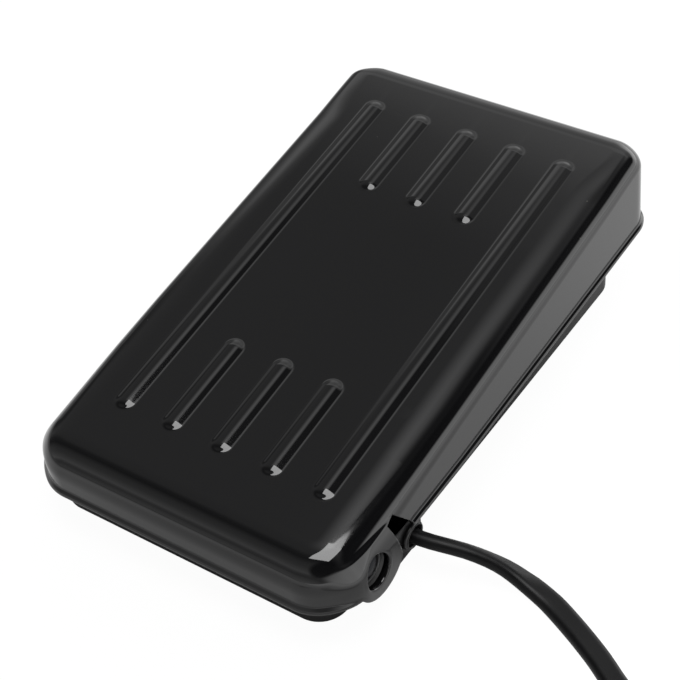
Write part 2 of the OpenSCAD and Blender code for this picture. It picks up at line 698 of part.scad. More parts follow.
// Two angle brackets that carry the lever's pin
module lever_brackets() color("#a6a8ac") both_sides() difference() {
    union() {
        translate([bracket_x, 0, 0]) along_x(bracket_t) {
            translate([pivot_y, pivot_z]) circle(bracket_half);
            translate([pivot_y - bracket_half, floor_z]) square([2 * bracket_half, pivot_up]);
        }
        translate([bracket_x, pivot_y - bracket_half, floor_z])
            cube([bracket_l, 2 * bracket_half, bracket_t]);
    }
    rod_x([0, pivot_y, pivot_z], pin_d / 2 + fit, cover_w);
    translate([bracket_rivet_x, pivot_y, foot_h])
        cylinder(r = bracket_rivet_d / 2 + fit, h = 4 * bracket_t);
}

module bracket_rivets() color("#b4b6ba") bracket_rivet_places() {
    head_r = bracket_rivet_d * 0.8;
    head_t = 0.8;
    translate([0, 0, foot_h - head_t]) cylinder(r = head_r, h = head_t);
    translate([0, 0, foot_h - head_t / 2])
        cylinder(r = bracket_rivet_d / 2, h = tray_t + bracket_t + head_t);
    translate([0, 0, floor_z + bracket_t]) cylinder(r = head_r, h = head_t);
}

module rivet_holes() both_sides() rod_y([rivet_x, bridge_y - 1, pile_z],
    rivet_d / 2 + fit, lever_y - bridge_y + 3 * lever_t);

module contact_bridge() color("#b99a4e") difference() {
    translate([-bridge_half, bridge_y, pile_z - bridge_h / 2]) cube([2 * bridge_half, bridge_t, bridge_h]);
    rivet_holes();
}

module bridge_insulator() color("#6d3b22") difference() {
    translate([-plate_half, bridge_y + bridge_t, plate_low])
        cube([2 * plate_half, insulator_t, plate_high - plate_low]);
    rivet_holes();
}

module bridge_rivets() color("#c9b06a") both_sides() {
    head_t = 0.4;
    stack = lever_y + lever_t - bridge_y;
    rod_y([rivet_x, bridge_y - head_t, pile_z], rivet_d * 0.8, head_t);
    rod_y([rivet_x, bridge_y - head_t / 2, pile_z], rivet_d / 2, stack + head_t);
    rod_y([rivet_x, lever_y + lever_t, pile_z], rivet_d * 0.8, head_t);
}

// Rubber bush in the right wing
module grommet() color("#161617") {
    lip = 1.6;
    nose = 0.9;
    inner_r = exit_at[2] - floor_z - seat;
    translate([0, exit_at[1], exit_at[2]]) rotate([0, 90, 0]) rotate_extrude() difference() {
        union() {
            translate([0, wing_x - tray_t - lip]) square([inner_r, lip]);
            translate([0, wing_x - tray_t - lip / 2]) square([neck_r, tray_t + lip]);
            polygon([[0, wing_x], [grommet_d / 2, wing_x], [grommet_d / 2, wing_x + lip - nose],
                [grommet_d / 2 - nose, wing_x + lip], [0, wing_x + lip]]);
        }
        translate([-1, 0]) square([cord_w / 2 + seat + 1, cover_w]);
    }
}

module clamp_screw_places() for (s = [-1, 1])
    translate([clamp_at[0] + clamp_l / 2, clamp_at[1] + s * clamp_screw_y, 0]) children();

// Saddle over the cord inside the tray
module cord_clamp() color("#a6a8ac") difference() {
    out_w = clamp_in_w + clamp_t;
    out_h = clamp_in_h + clamp_t;
    translate(clamp_at) along_x(clamp_l) polygon([
        [-clamp_half, 0], [-clamp_in_w, 0], [-clamp_in_w, clamp_in_h], [clamp_in_w, clamp_in_h],
        [clamp_in_w, 0], [clamp_half, 0], [clamp_half, clamp_t], [out_w, clamp_t], [out_w, out_h],
        [-out_w, out_h], [-out_w, clamp_t], [-clamp_half, clamp_t]]);
    clamp_screw_places() translate([0, 0, floor_z - clamp_t])
        cylinder(r = clamp_screw_d / 2 + fit, h = 4 * clamp_t);
}

module clamp_screws() color("#b4b6ba") clamp_screw_places() {
    head_h = 1.6;
    translate([0, 0, foot_h - 0.5]) cylinder(r = clamp_screw_d / 2, h = tray_t + clamp_t + head_h);
    translate([0, 0, floor_z + clamp_t]) cylinder(r = clamp_screw_d * 0.8, h = head_h);
}

module inner_wires() color("#3a3a3c") for (points = [right_wire, left_wire])
    sweep(lead_to_block(points), wire_d, wire_d, wire_sides);

module cord_lead() color("#121213") sweep(from_exit(lead_points), cord_w, cord_t, cord_sides);

module cord_tail() color("#121213") sweep(from_exit(tail_points), cord_w, cord_t, cord_sides);

// Outer shape of the coiled length
module cord_coil() color("#121213") translate([coil_at[0], coil_at[1], tie_t]) rotate_extrude()
    translate([coil_mid_r - coil_turns_wide * cord_w / 2, 0])
        square([coil_turns_wide * cord_w, coil_turns_high * cord_t]);

module coil_tie() color("#2c2c2e") translate([coil_at[0] - coil_mid_r, coil_at[1], 0]) difference() {
    inner_w = coil_turns_wide * cord_w + 1;
    inner_h = coil_turns_high * cord_t + 0.4;
    translate([-inner_w / 2 - tie_t, -tie_w / 2, 0])
        cube([inner_w + 2 * tie_t, tie_w, inner_h + 2 * tie_t]);
    translate([-inner_w / 2, -tie_w, tie_t]) cube([inner_w, 2 * tie_w, inner_h]);
}

module pin_places() for (s = [-1, 1])
    translate(plug_at + [-plug_l, s * plug_pin_pitch / 2, 0]) rotate([0, 90, 0]) children();

// Flat plug with a tapered strain relief
module plug_body() color("#151516") difference() {
    side_r = plug_h / 2;
    waist_r = side_r * 0.6;
    union() {
        hull() for (s = [-1, 1]) {
            rod_x(plug_at + [-plug_l, s * (plug_w / 2 - side_r), 0], side_r, plug_l * 0.55, $fn = 32);
            rod_x(plug_at + [-1, s * (plug_w / 4 - side_r / 2), 0], waist_r, 1, $fn = 32);
        }
        translate(plug_at - [2, 0, 0]) rotate([0, 90, 0])
            cylinder(r1 = cord_w / 2 + 1.7, r2 = cord_w / 2 + 0.7, h = relief_l + 2);
    }
    pin_places() translate([0, 0, -1]) cylinder(r = plug_pin_d / 2 + fit, h = pin_root + 1 + fit);
    rod_x(plug_at + [relief_l - 3, 0, 0], cord_w / 2 + fit, 4);
}

module plug_pins() color("#c8cacd") pin_places() {
    nose = 1;
    translate([0, 0, nose - plug_pin_l]) cylinder(r = plug_pin_d / 2, h = plug_pin_l - nose + pin_root);
    translate([0, 0, -plug_pin_l])
        cylinder(r1 = plug_pin_d / 2 - 0.7 * nose, r2 = plug_pin_d / 2, h = nose);
}

cover();
push_yoke();
spring_cup();
limit_hook();
base_tray();
pivot_studs();
rubber_feet();
foot_screws();
return_spring();
rheostat_block();
carbon_discs();
contact_buttons();
terminal_plates();
terminal_screws();
block_screws();
lever();
lever_pin();
lever_brackets();
bracket_rivets();
contact_bridge();
bridge_insulator();
bridge_rivets();
grommet();
cord_clamp();
clamp_screws();
inner_wires();
cord_lead();
cord_coil();
cord_tail();
coil_tie();
plug_body();
plug_pins();
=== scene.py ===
"""Sewing machine foot pedal: a gloss black ribbed cover that tilts on a low tray, with its cord and works."""

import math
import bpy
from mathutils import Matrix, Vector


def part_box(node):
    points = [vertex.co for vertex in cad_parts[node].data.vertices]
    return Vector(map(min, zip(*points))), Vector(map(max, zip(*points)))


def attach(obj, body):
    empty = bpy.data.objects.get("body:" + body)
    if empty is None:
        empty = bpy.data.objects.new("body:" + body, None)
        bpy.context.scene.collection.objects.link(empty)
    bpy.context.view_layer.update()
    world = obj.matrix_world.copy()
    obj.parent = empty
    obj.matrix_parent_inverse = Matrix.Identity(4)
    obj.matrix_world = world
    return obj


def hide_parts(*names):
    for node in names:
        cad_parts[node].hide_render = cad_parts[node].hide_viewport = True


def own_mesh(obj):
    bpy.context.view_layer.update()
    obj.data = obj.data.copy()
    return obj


bl_info = {
    "name": "Sewing Machine Foot Pedal",
    "version": (1, 0, 0),
    "blender": (4, 5, 0),
    "location": "View3D > Sidebar > Foot Pedal",
    "description": "Builds the enamelled cover, the tray, the cord and the works around the packed solids",
    "category": "Add Mesh",
}

from types import SimpleNamespace

import bmesh
import bpy
from mathutils import Matrix, Vector

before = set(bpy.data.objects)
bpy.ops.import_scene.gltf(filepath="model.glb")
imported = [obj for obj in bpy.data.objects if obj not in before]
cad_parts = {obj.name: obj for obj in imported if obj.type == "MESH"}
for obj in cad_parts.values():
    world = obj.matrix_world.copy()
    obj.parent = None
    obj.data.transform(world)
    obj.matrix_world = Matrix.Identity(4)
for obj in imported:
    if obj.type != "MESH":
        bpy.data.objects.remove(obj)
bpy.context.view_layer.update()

MM = 0.001
QUARTER = math.pi / 2
# Points nearer than this count as one, in millimetres
WELD = 1e-4


# Properties that a user would change

def length(name, description, millimetres):
    """A length property, given in millimetres and kept in metres."""
    return bpy.props.FloatProperty(
        name=name, description=description, default=millimetres * MM,
        unit="LENGTH", subtype="DISTANCE", precision=5)


def angle(name, description, degrees):
    """An angle property, given in degrees."""
    return bpy.props.FloatProperty(
        name=name, description=description, default=math.radians(degrees), unit="ROTATION", subtype="ANGLE")


def colour(name, description, code):
    """A colour property, given as an sRGB hex value."""
    return bpy.props.FloatVectorProperty(
        name=name, description=description, default=linear(code), size=4, min=0, max=1, subtype="COLOR")


def linear(code):
    """An sRGB hex value as linear colour with alpha."""
    parts = [int(code[i:i + 2], 16) / 255 for i in (1, 3, 5)]
    return [p / 12.92 if p <= 0.04045 else ((p + 0.055) / 1.055) ** 2.4 for p in parts] + [1.0]


def in_mm(group):
    """A property group's values, its lengths in millimetres."""
    values = {}
    for key, prop in group.bl_rna.properties.items():
        if key in ("rna_type", "name"):
            continue
        value = getattr(group, key)
        values[key] = value / MM if getattr(prop, "unit", "") == "LENGTH" else value
    return SimpleNamespace(**values)


class PedalCoverSizes(bpy.types.PropertyGroup):
    """Sizes of the cover in its own frame, with y along the rim and z square to it"""
    width: length("Width", "Width over the hem", 86)
    long: length("Length", "Length over the hem", 146)
    front_h: length("Front height", "Height of the top plane above the rim at the front", 11.1)
    wedge: angle("Wedge", "Slope of the top against the rim", 5.1)
    draft: angle("Draft", "Lean of the walls", 0.8)
    corner_r: length("Front corner radius", "Plan radius of the walls' front corners", 10.8)
    rear_corner_r: length("Rear corner radius", "Plan radius of the walls' rear corners", 8.5)
    edge_r: length("Front edge radius", "Radius between the top and the front and rear walls", 7.6)
    side_r: length("Side edge radius", "Radius between the top and the side walls", 4.6)
    sheet: length("Sheet", "Sheet thickness", 1)
    hem_h: length("Hem height", "Height of the hem", 1.7)
    bush_room: length("Room over the bush", "Rise of the rim over the cord's bush", 0.75)
    bush_y: length("Bush from the front", "Distance of the bush from the front edge", 31.5)
    hem_lip: length("Hem lip", "Height of the upright lip below the hem's flare", 0.8)
    hem_out: length("Hem reach", "How far the hem stands proud of the wall", 0.8)
    rim_z: length("Rim height", "Height of the rim's front edge above the floor", 11.1)
    rest_tilt: angle("Rest tilt", "Tilt of the rim at rest", 2.9)
    rib_pitch: length("Rib pitch", "Distance between neighbouring ribs", 13.5)
    rib_h: length("Rib height", "Height of a rib above the top", 0.75)
    rib_crest_r: length("Rib crest radius", "Radius of a rib's rounded crest", 4.6)
    rib_foot_r: length("Rib foot radius", "Radius of the hollow at a rib's foot", 2.2)
    rib_start: length("Rib start", "Front end of the ribs behind the front edge", 21.5)
    rib_short: length("Short rib", "Length of a short rib between its end centres", 23.2)
    rib_plain: length("Plain length", "Plain length of the top between the short ribs", 58.2)
    hinge_back: length("Hinge place", "Hinge axis behind the front edge", 15.1)
    hinge_up: length("Hinge height", "Hinge axis above the rim", 2.65)
    crown_w: length("Front crown width", "Width of the band where the top bends towards its front edge", 3)
    crown: angle("Front crown", "Bend of the top along its front edge", 7)
    side_crown_w: length("Side crown width", "Width of the band that bends towards the other edges", 6)
    side_crown: angle("Side crown", "Bend of the top along its other edges", 16)
    ear_r: length("Ear radius", "Radius of an ear's round end", 8)
    ear_shift: length("Ear shift", "Middle of an ear's round end behind the hinge axis", 1.5)
    ear_step: length("Ear step", "How far an ear stands out from the wall", 1.8)
    joggle: length("Joggle", "Length of the slope from the left ear back to the wall", 4.2)
    crease_z: length("Crease height", "Height of the crease over the right ear, above the rim", 9.4)
    ear_rear: length("Ear rear", "Rear edge of an ear behind the front edge", 23.4)
    bore_r: length("Bore radius", "Radius of an ear's bore", 4.05)
    bore_lip: length("Bore lip", "Rounding of the bore's edge", 0.5)
    collar: length("Collar", "Length of the collar drawn inwards around the bore", 1.7)
    notch_h: length("Notch height", "Height of the cord notch behind the right ear", 9.6)
    notch_w: length("Notch width", "Width of the cord notch along its top", 2.8)
    notch_l: length("Notch length", "Length of the cord notch along the rim", 8.2)
    front_drop: length("Front drop", "How far the rim hangs lower along the front", 1.1)


class PedalCordSizes(bpy.types.PropertyGroup):
    """Sizes of the flat cord, its coil and its plug"""
    width: length("Width", "Width of the flat cord", 5.4)
    thick: length("Thickness", "Thickness of the flat cord", 3.2)
    coil_r: length("Coil radius", "Radius at the middle of the coil", 31.4)
    tie_w: length("Tie width", "Width of the tie around the coil", 6)
    tie_t: length("Tie thickness", "Thickness of the tie", 0.6)


class PedalColours(bpy.types.PropertyGroup):
    """Colours of the finishes"""
    enamel: colour("Enamel", "Stoved black enamel of the cover", "#0c0c0d")
    dust: colour("Dust", "Specks of dust on the enamel", "#4f4d49")
    rubber: colour("Rubber", "Feet and grommet", "#101011")
    cord: colour("Cord", "Sheath of the cord", "#070708")
    ceramic: colour("Ceramic", "Rheostat block", "#ddd8cc")
    steel: colour("Steel", "Zinc-plated steel", "#b9bbbe")
    brass: colour("Brass", "Contacts and terminals", "#c2a24f")


# Shared tools for materials and meshes

def feed(tree, made, inputs):
    """Sets a node's inputs, by name or in order, each to a value or to the socket that feeds it."""
    for key, value in inputs.items() if isinstance(inputs, dict) else enumerate(inputs):
        if isinstance(value, bpy.types.NodeSocket):
            tree.links.new(value, made.inputs[key])
        else:
            made.inputs[key].default_value = value


def node(tree, kind, inputs=(), **settings):
    """Adds a node with its settings, values and links."""
    made = tree.nodes.new(kind)
    for key, value in settings.items():
        setattr(made, key, value)
    feed(tree, made, inputs)
    return made


def start_material(name, base, roughness, **sockets):
    """A material with its shader set; returns the material, its tree, its shader and Object coordinates."""
    made = bpy.data.materials.new(name)
    made.use_nodes = True
    made.diffuse_color = base
    tree = made.node_tree
    shader = tree.nodes["Principled BSDF"]
    feed(tree, shader, {"Base Color": base, "Roughness": roughness})
    feed(tree, shader, {key.replace("_", " "): value for key, value in sockets.items()})
    place = node(tree, "ShaderNodeTexCoord").outputs["Object"]
    return made, tree, shader, place


def per_mm(millimetres):
    """Texture scale for a pattern that repeats about every so many millimetres."""
    return 1 / (millimetres * MM)


def make_enamel(name, base, dust, gloss, **sockets):
    """Black enamel on pressed steel: smooth with a faint orange peel, and shows wiping haze and dust."""
    made, tree, shader, place = start_material(name, base, gloss, IOR=1.5, **sockets)
    haze = node(tree, "ShaderNodeTexNoise", {"Vector": place, "Scale": per_mm(24), "Detail": 4.0})
    rough = node(tree, "ShaderNodeMapRange", (haze.outputs["Fac"], 0.35, 0.7, gloss * 0.75, gloss * 1.4))
    # Dust sits as sparse specks of a quarter of a millimetre, a few to the square centimetre
    cells = node(tree, "ShaderNodeTexVoronoi", {"Vector": place, "Scale": per_mm(3.4)})
    speck = node(tree, "ShaderNodeMapRange", (cells.outputs["Distance"], 0.03, 0.05, 1.0, 0.0))
    chance = node(tree, "ShaderNodeSeparateColor", (cells.outputs["Color"],))
    picked = node(tree, "ShaderNodeMath", (chance.outputs["Red"], 0.93), operation="GREATER_THAN")
    dusty = node(tree, "ShaderNodeMath", (
        speck.outputs["Result"], picked.outputs["Value"]), operation="MULTIPLY")
    mix = node(tree, "ShaderNodeMix", {
        "Factor": dusty.outputs["Value"], "A": base, "B": dust}, data_type="RGBA")
    peel = node(tree, "ShaderNodeTexNoise", {"Vector": place, "Scale": per_mm(2.6), "Detail": 2.0})
    bump = node(tree, "ShaderNodeBump", {
        "Height": peel.outputs["Fac"], "Strength": 0.04, "Distance": 0.02 * MM})
    feed(tree, shader, {
        "Roughness": rough.outputs["Result"], "Base Color": mix.outputs["Result"],
        "Normal": bump.outputs["Normal"]})
    return made


def make_moulded(name, base, roughness, grain_mm, depth_mm, **sockets):
    """A moulded or fired surface: even colour with slight clouding and a fine grain of the given size."""
    made, tree, shader, place = start_material(name, base, roughness, **sockets)
    cloud = node(tree, "ShaderNodeTexNoise", {"Vector": place, "Scale": per_mm(9), "Detail": 3.0})
    tone = node(tree, "ShaderNodeMapRange", (cloud.outputs["Fac"], 0.3, 0.7, 0.88, 1.12))
    tint = node(tree, "ShaderNodeVectorMath", {
        0: base[:3], "Scale": tone.outputs["Result"]}, operation="SCALE")
    rough = node(tree, "ShaderNodeMapRange", (
        cloud.outputs["Fac"], 0.3, 0.7, roughness * 0.85, min(roughness * 1.15, 1.0)))
    grain = node(tree, "ShaderNodeTexNoise", {"Vector": place, "Scale": per_mm(grain_mm), "Detail": 3.0})
    bump = node(tree, "ShaderNodeBump", {
        "Height": grain.outputs["Fac"], "Strength": 0.5, "Distance": depth_mm * MM})
    feed(tree, shader, {
        "Roughness": rough.outputs["Result"], "Base Color": tint.outputs["Vector"],
        "Normal": bump.outputs["Normal"]})
    return made


def make_metal(name, base, roughness, grain_mm, stretch):
    """Rolled or drawn metal: fine lines along one way, and patches that are a little duller."""
    made, tree, shader, place = start_material(name, base, roughness, Metallic=1.0)
    drawn = node(tree, "ShaderNodeMapping", {"Vector": place, "Scale": stretch}).outputs["Vector"]
    lines = node(tree, "ShaderNodeTexNoise", {"Vector": drawn, "Scale": per_mm(grain_mm), "Detail": 4.0})
    patch = node(tree, "ShaderNodeTexNoise", {"Vector": place, "Scale": per_mm(6), "Detail": 3.0})
    rough = node(tree, "ShaderNodeMapRange", (
        patch.outputs["Fac"], 0.3, 0.7, roughness * 0.75, roughness * 1.35))
    bump = node(tree, "ShaderNodeBump", {
        "Height": lines.outputs["Fac"], "Strength": 0.4, "Distance": 0.02 * MM})
    feed(tree, shader, {"Roughness": rough.outputs["Result"], "Normal": bump.outputs["Normal"]})
    return made


def make_finishes(c):
    """All finishes of the pedal, by the record's slot."""
    along = (1.0, 0.08, 1.0)
    return {
        # Stoved enamel on the pressed cover: deep gloss that mirrors the room
        "enamel": make_enamel("stoved_black_enamel", c.enamel, c.dust, 0.05),
        # Dipped enamel on the tray: thinner and duller than the cover's
        "tray_enamel": make_enamel("dipped_black_enamel", c.enamel, c.dust, 0.3, Specular_IOR_Level=0.2),
        # Moulded natural rubber: satin from the mould, with a fine sandy skin
        "rubber": make_moulded("moulded_black_rubber", c.rubber, 0.34, 0.5, 0.01),
        # Extruded soft vinyl: satin, slightly uneven along its length
        "cord_pvc": make_moulded("extruded_black_vinyl", c.cord, 0.42, 1.6, 0.02, Specular_IOR_Level=0.2),
        # Glazed electrical porcelain: cream, glassy, with a faint ripple
        "ceramic": make_moulded("glazed_porcelain", c.ceramic, 0.22, 2.2, 0.015),
        # Pressed carbon: dark grey and matt, with a fine tooth
        "carbon": make_moulded("pressed_carbon", linear("#2b2b2d"), 0.58, 0.4, 0.02),
        # Vulcanised fibre: red brown, waxy
        "fibre": make_moulded("vulcanised_fibre", linear("#6f3a22"), 0.5, 0.7, 0.02),
        # Moulded phenolic plastic of the plug: smooth with a soft gloss
        "plug_plastic": make_moulded("moulded_black_phenolic", linear("#161617"), 0.3, 1.8, 0.015),
        # Zinc-plated sheet: pale and satin, with rolling lines
        "zinc": make_metal("zinc_plated_sheet", c.steel, 0.34, 0.5, along),
        # Bright screws and pins: turned steel
        "steel": make_metal("turned_steel", linear("#c3c5c8"), 0.26, 0.35, (1.0, 1.0, 0.1)),
        # Blackened studs: dark oxide with a worn sheen
        "stud_steel": make_metal("blackened_steel", linear("#26272a"), 0.28, 0.4, (1.0, 1.0, 0.1)),
        # Stamped brass: warm, a little tarnished
        "brass": make_metal("stamped_brass", c.brass, 0.3, 0.5, along),
        # Nickel plating on the plug's pins
        "nickel": make_metal("nickel_plate", linear("#cdcbc6"), 0.18, 0.4, (0.1, 1.0, 1.0)),
    }


finishes = {}


def place_piece(bm, name, slot, body, nodes, to_part=Matrix()):
    """Makes a bmesh in millimetres a finished piece that rides on a body and stands for its CAD nodes."""
    bmesh.ops.transform(bm, matrix=to_part, verts=bm.verts)
    bmesh.ops.scale(bm, vec=(MM, MM, MM), verts=bm.verts)
    for face in bm.faces:
        face.smooth = True
    mesh = bpy.data.meshes.new(name)
    bm.to_mesh(mesh)
    bm.free()
    piece = bpy.data.objects.new(name, mesh)
    bpy.context.scene.collection.objects.link(piece)
    mesh.materials.append(finishes[slot])
    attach(piece, body)
    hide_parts(*nodes)
    return piece


def bevel(bm, edges, offset, segments):
    """A round bevel of the given width on edges."""
    return bmesh.ops.bevel(
        bm, geom=edges, offset=offset, offset_type="OFFSET", affect="EDGES", segments=segments, profile=0.5,
        clamp_overlap=False, material=-1)


def only(geometry, kind):
    """The vertices, edges or faces in what an operator gives back."""
    return [g for g in geometry if isinstance(g, kind)]


def cut(bm, faces, point, normal):
    """Cuts faces along a plane and returns all faces of that patch afterwards."""
    verts = {v for f in faces for v in f.verts}
    edges = {e for f in faces for e in f.edges}
    made = bmesh.ops.bisect_plane(
        bm, geom=list(verts) + list(edges) + list(faces), dist=WELD, plane_co=point, plane_no=normal)
    return only(made["geom"], bmesh.types.BMFace)


def block(wide, deep, high):
    """A plain block about the origin."""
    bm = bmesh.new()
    bmesh.ops.create_cube(bm, size=1)
    bmesh.ops.scale(bm, vec=(wide, deep, high), verts=bm.verts)
    return bm


def edges_along(bm, axis, shortest):
    """Edges that run along an axis for more than the shortest length."""
    return [e for e in bm.edges if abs(e.verts[0].co[axis] - e.verts[1].co[axis]) > shortest]


def steps(first, last, count):
    """Evenly spaced numbers from first to last."""
    return [first + (last - first) * i / (count - 1) for i in range(count)]


def smooth_step(low, high, value):
    """0 below low, 1 above high, and an S-shaped run between."""
    t = min(max((value - low) / (high - low), 0), 1)
    return t * t * (3 - 2 * t)


def round_solid(profile, segments=48):
    """A turned solid about z from points of radius and height, closed at its seam and poles."""
    bm = bmesh.new()
    verts = [bm.verts.new((r, 0, z)) for r, z in profile]
    edges = [bm.edges.new(pair) for pair in zip(verts, verts[1:])]
    bmesh.ops.spin(
        bm, geom=verts + edges, cent=(0, 0, 0), axis=(0, 0, 1), angle=2 * math.pi, steps=segments,
        use_merge=True)
    bmesh.ops.remove_doubles(bm, verts=bm.verts, dist=WELD)
    bmesh.ops.recalc_face_normals(bm, faces=bm.faces)
    return bm


def arc(middle, radius, first, last, count):
    """Points of a profile on an arc, its angles in degrees."""
    return [(middle[0] + radius * math.cos(math.radians(a)), middle[1] + radius * math.sin(math.radians(a)))
            for a in steps(first, last, count)]


def join(bm, other, matrix=Matrix()):
    """Adds another bmesh to bm, placed by a matrix."""
    bmesh.ops.transform(other, matrix=matrix, verts=other.verts)
    mesh = bpy.data.meshes.new("joined")
    other.to_mesh(mesh)
    other.free()
    bm.from_mesh(mesh)
    bpy.data.meshes.remove(mesh)


def weighted_normals(piece):
    """Lets the broad faces rule the shading, so flats stay flat beside their fillets."""
    piece.modifiers.new("flats", "WEIGHTED_NORMAL").weight = 60


def thicken(piece, sheet_mm):
    """Gives a sheet its thickness, inwards."""
    made = piece.modifiers.new("sheet", "SOLIDIFY")
    made.thickness = sheet_mm * MM
    made.offset = -1


def soften(piece, width_mm):
    """Rounds a piece's sharp edges."""
    made = piece.modifiers.new("edges", "BEVEL")
    made.width = width_mm * MM
    made.segments = 2
    made.limit_method = "ANGLE"
    made.angle_limit = math.radians(35)


def tube(name, points, profile, tilts=None):
    """A mesh tube along points in millimetres, its section given by (across, up) points."""
    section = bpy.data.curves.new(name + "_section", "CURVE")
    section.dimensions = "2D"
    spline = section.splines.new("POLY")
    spline.points.add(len(profile) - 1)
    for point, (u, v) in zip(spline.points, profile):
        point.co = (u * MM, v * MM, 0, 1)
    spline.use_cyclic_u = True
    section_object = bpy.data.objects.new(name + "_section", section)
    bpy.context.scene.collection.objects.link(section_object)
    line = bpy.data.curves.new(name + "_line", "CURVE")
    line.dimensions = "3D"
    line.twist_mode = "Z_UP"
    line.bevel_mode = "OBJECT"
    line.bevel_object = section_object
    line.use_fill_caps = True
    run = line.splines.new("POLY")
    run.points.add(len(points) - 1)
    for i, place in enumerate(points):
        run.points[i].co = (*(Vector(place) * MM), 1)
        run.points[i].tilt = tilts[i] if tilts else 0
    line_object = bpy.data.objects.new(name + "_line", line)
    bpy.context.scene.collection.objects.link(line_object)
    bpy.context.view_layer.update()
    shaped = line_object.evaluated_get(bpy.context.evaluated_depsgraph_get())
    mesh = bpy.data.meshes.new_from_object(shaped)
    for made, data in ((line_object, line), (section_object, section)):
        bpy.data.objects.remove(made)
        bpy.data.curves.remove(data)
    bm = bmesh.new()
    bm.from_mesh(mesh)
    bpy.data.meshes.remove(mesh)
    bmesh.ops.remove_doubles(bm, verts=bm.verts, dist=1e-7)
    bmesh.ops.recalc_face_normals(bm, faces=bm.faces)
    bmesh.ops.scale(bm, vec=(1 / MM,) * 3, verts=bm.verts)
    return bm


def smooth_run(points, spacing):
    """Points close together on a smooth curve through the given ones (any number of values each)."""
    run = []
    for i in range(len(points) - 1):
        p0, p1, p2, p3 = (points[min(max(i + k, 0), len(points) - 1)] for k in (-1, 0, 1, 2))
        gap = math.dist(p1[:3], p2[:3])
        count = max(int(gap / spacing + 0.5), 1)
        for k in range(count):
            t = k / count
            run.append([
                b + 0.5 * t * (c - a + t * (2 * a - 5 * b + 4 * c - d + t * (3 * (b - c) + d - a)))
                for a, b, c, d in zip(p0, p1, p2, p3)])
    run.append(list(points[-1]))
    return run


# The places that the CAD frame fixes, in millimetres

def box_mm(name):
    """Corners of a CAD node's box."""
    return [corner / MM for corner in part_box(name)]


def hinge_place():
    """Middle of the hinge axis."""
    low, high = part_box("pivot_studs")
    return (low + high) / 2 / MM


def exit_place():
    """Middle of the cord's hole in the tray's right wing, from the grommet."""
    low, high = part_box("grommet")
    wing_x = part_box("base_tray")[1].x / MM
    return Vector((wing_x, (low.y + high.y) / 2 / MM, (low.z + high.z) / 2 / MM + 0.6))


# Cord's route: x and y from its exit, height above the floor, turn of its flat side in degrees
LEAD_ROUTE = (
    (-19, 0, 5.7, 0), (-14, 0, 5.7, 0), (-10, 0, 5.9, 5), (-6.5, 0, 7.2, 25), (-3.5, 0, 8.2, 45),
    (2.5, 0, 8.3, 45), (7, 0.9, 8.1, 45), (12, 2.5, 7.3, 45), (16.5, 3.9, 5.9, 42), (20.5, 4.8, 4.4, 35),
    (24, 4.9, 3.2, 25), (27, 4.6, 2.5, 15), (31, 3.7, 1.9, 6), (34.3, 2.5, 1.7, 0), (41, -0.8, 1.7, 0),
    (47.8, -4.6, 1.7, 0), (52.3, -7.6, 1.7, 0), (59, -11.8, 1.8, 0), (69, -18.2, 2, 0), (76, -22.7, 2.2, 0))
TAIL_ROUTE = (
    (90.8, -32.8, 5, 0), (99.3, -43.3, 3.8, 0), (103.8, -57.3, 2.6, 0), (101.8, -71.8, 2, 0),
    (94.8, -84.8, 1.7, 0), (83.3, -94.5, 1.7, 0), (69.8, -100.3, 1.7, 0), (59.8, -101.3, 1.8, 0),
    (53.3, -101.3, 2.6, 0), (47.3, -101.3, 4.4, 0), (42.3, -101.3, 6.1, 0), (38.8, -101.3, 6.5, 0))
ROUTE_SPACING = 2.2
# Coil: its middle from the exit, the angle where it starts, and each turn's column and height
COIL_FROM_EXIT = (61.8, -57.3)
COIL_START = 55
COIL_LAYS = ((1, 2.2), (0, 2.2), (-1, 2.2), (-1, 5.4), (0, 5.4), (1, 5.4))


def coil_route(s):
    """Turns of the coil, clockwise from where the lead meets it: inwards below, then outwards on top."""
    route = []
    per_turn = 24
    change = 70
    for i in range(per_turn * len(COIL_LAYS) + 1):
        swept = 360 * i / per_turn
        lay = min(int((swept + change / 2) / 360), len(COIL_LAYS) - 1)
        before = COIL_LAYS[max(lay - 1, 0)]
        part = smooth_step(360 * lay - change / 2, 360 * lay + change / 2, swept) if lay else 1
        column, height = (a + (b - a) * part for a, b in zip(before, COIL_LAYS[lay]))
        radius = s.coil_r + column * s.width
        turn = math.radians(COIL_START - swept)
        x = COIL_FROM_EXIT[0] + radius * math.cos(turn)
        y = COIL_FROM_EXIT[1] + radius * math.sin(turn)
        route.append((x, y, height, 0))
    return route


# Camera fitted to the photograph: place in metres, lens for its sensor in millimetres, and its azimuth,
# elevation and roll in degrees
CAMERA_PLACE = (0.17653, -0.23513, 0.28339)
CAMERA_LENS = 87.97
CAMERA_SENSOR = 36
CAMERA_TURNS = (37.69, 42.49, -5.79)
# Softbox over the pedal, whose mirror image gives the glints: place and size in metres, radiance
SOFTBOX_PLACE = (0.1125, -0.064, 0.9)
SOFTBOX_W = 0.575
SOFTBOX_D = 0.482
SOFTBOX_RADIANCE = 7.2
# Brightness of the room from the front (-1) over the zenith (0) to the rear, and at both ends
ROOM_LEVELS = (
    (-0.95, 0.75), (-0.8, 0.5), (-0.72, 0.34), (-0.64, 0.42), (-0.56, 0.76), (-0.48, 0.58), (-0.38, 0.39),
    (-0.28, 0.3), (-0.16, 0.08), (-0.08, 0.12), (0.0, 0.27), (0.1, 0.31), (0.255, 0.29), (0.282, 0.45),
    (0.307, 1.0), (0.34, 1.05), (0.42, 0.7))
ROOM_ENDS = 0.75
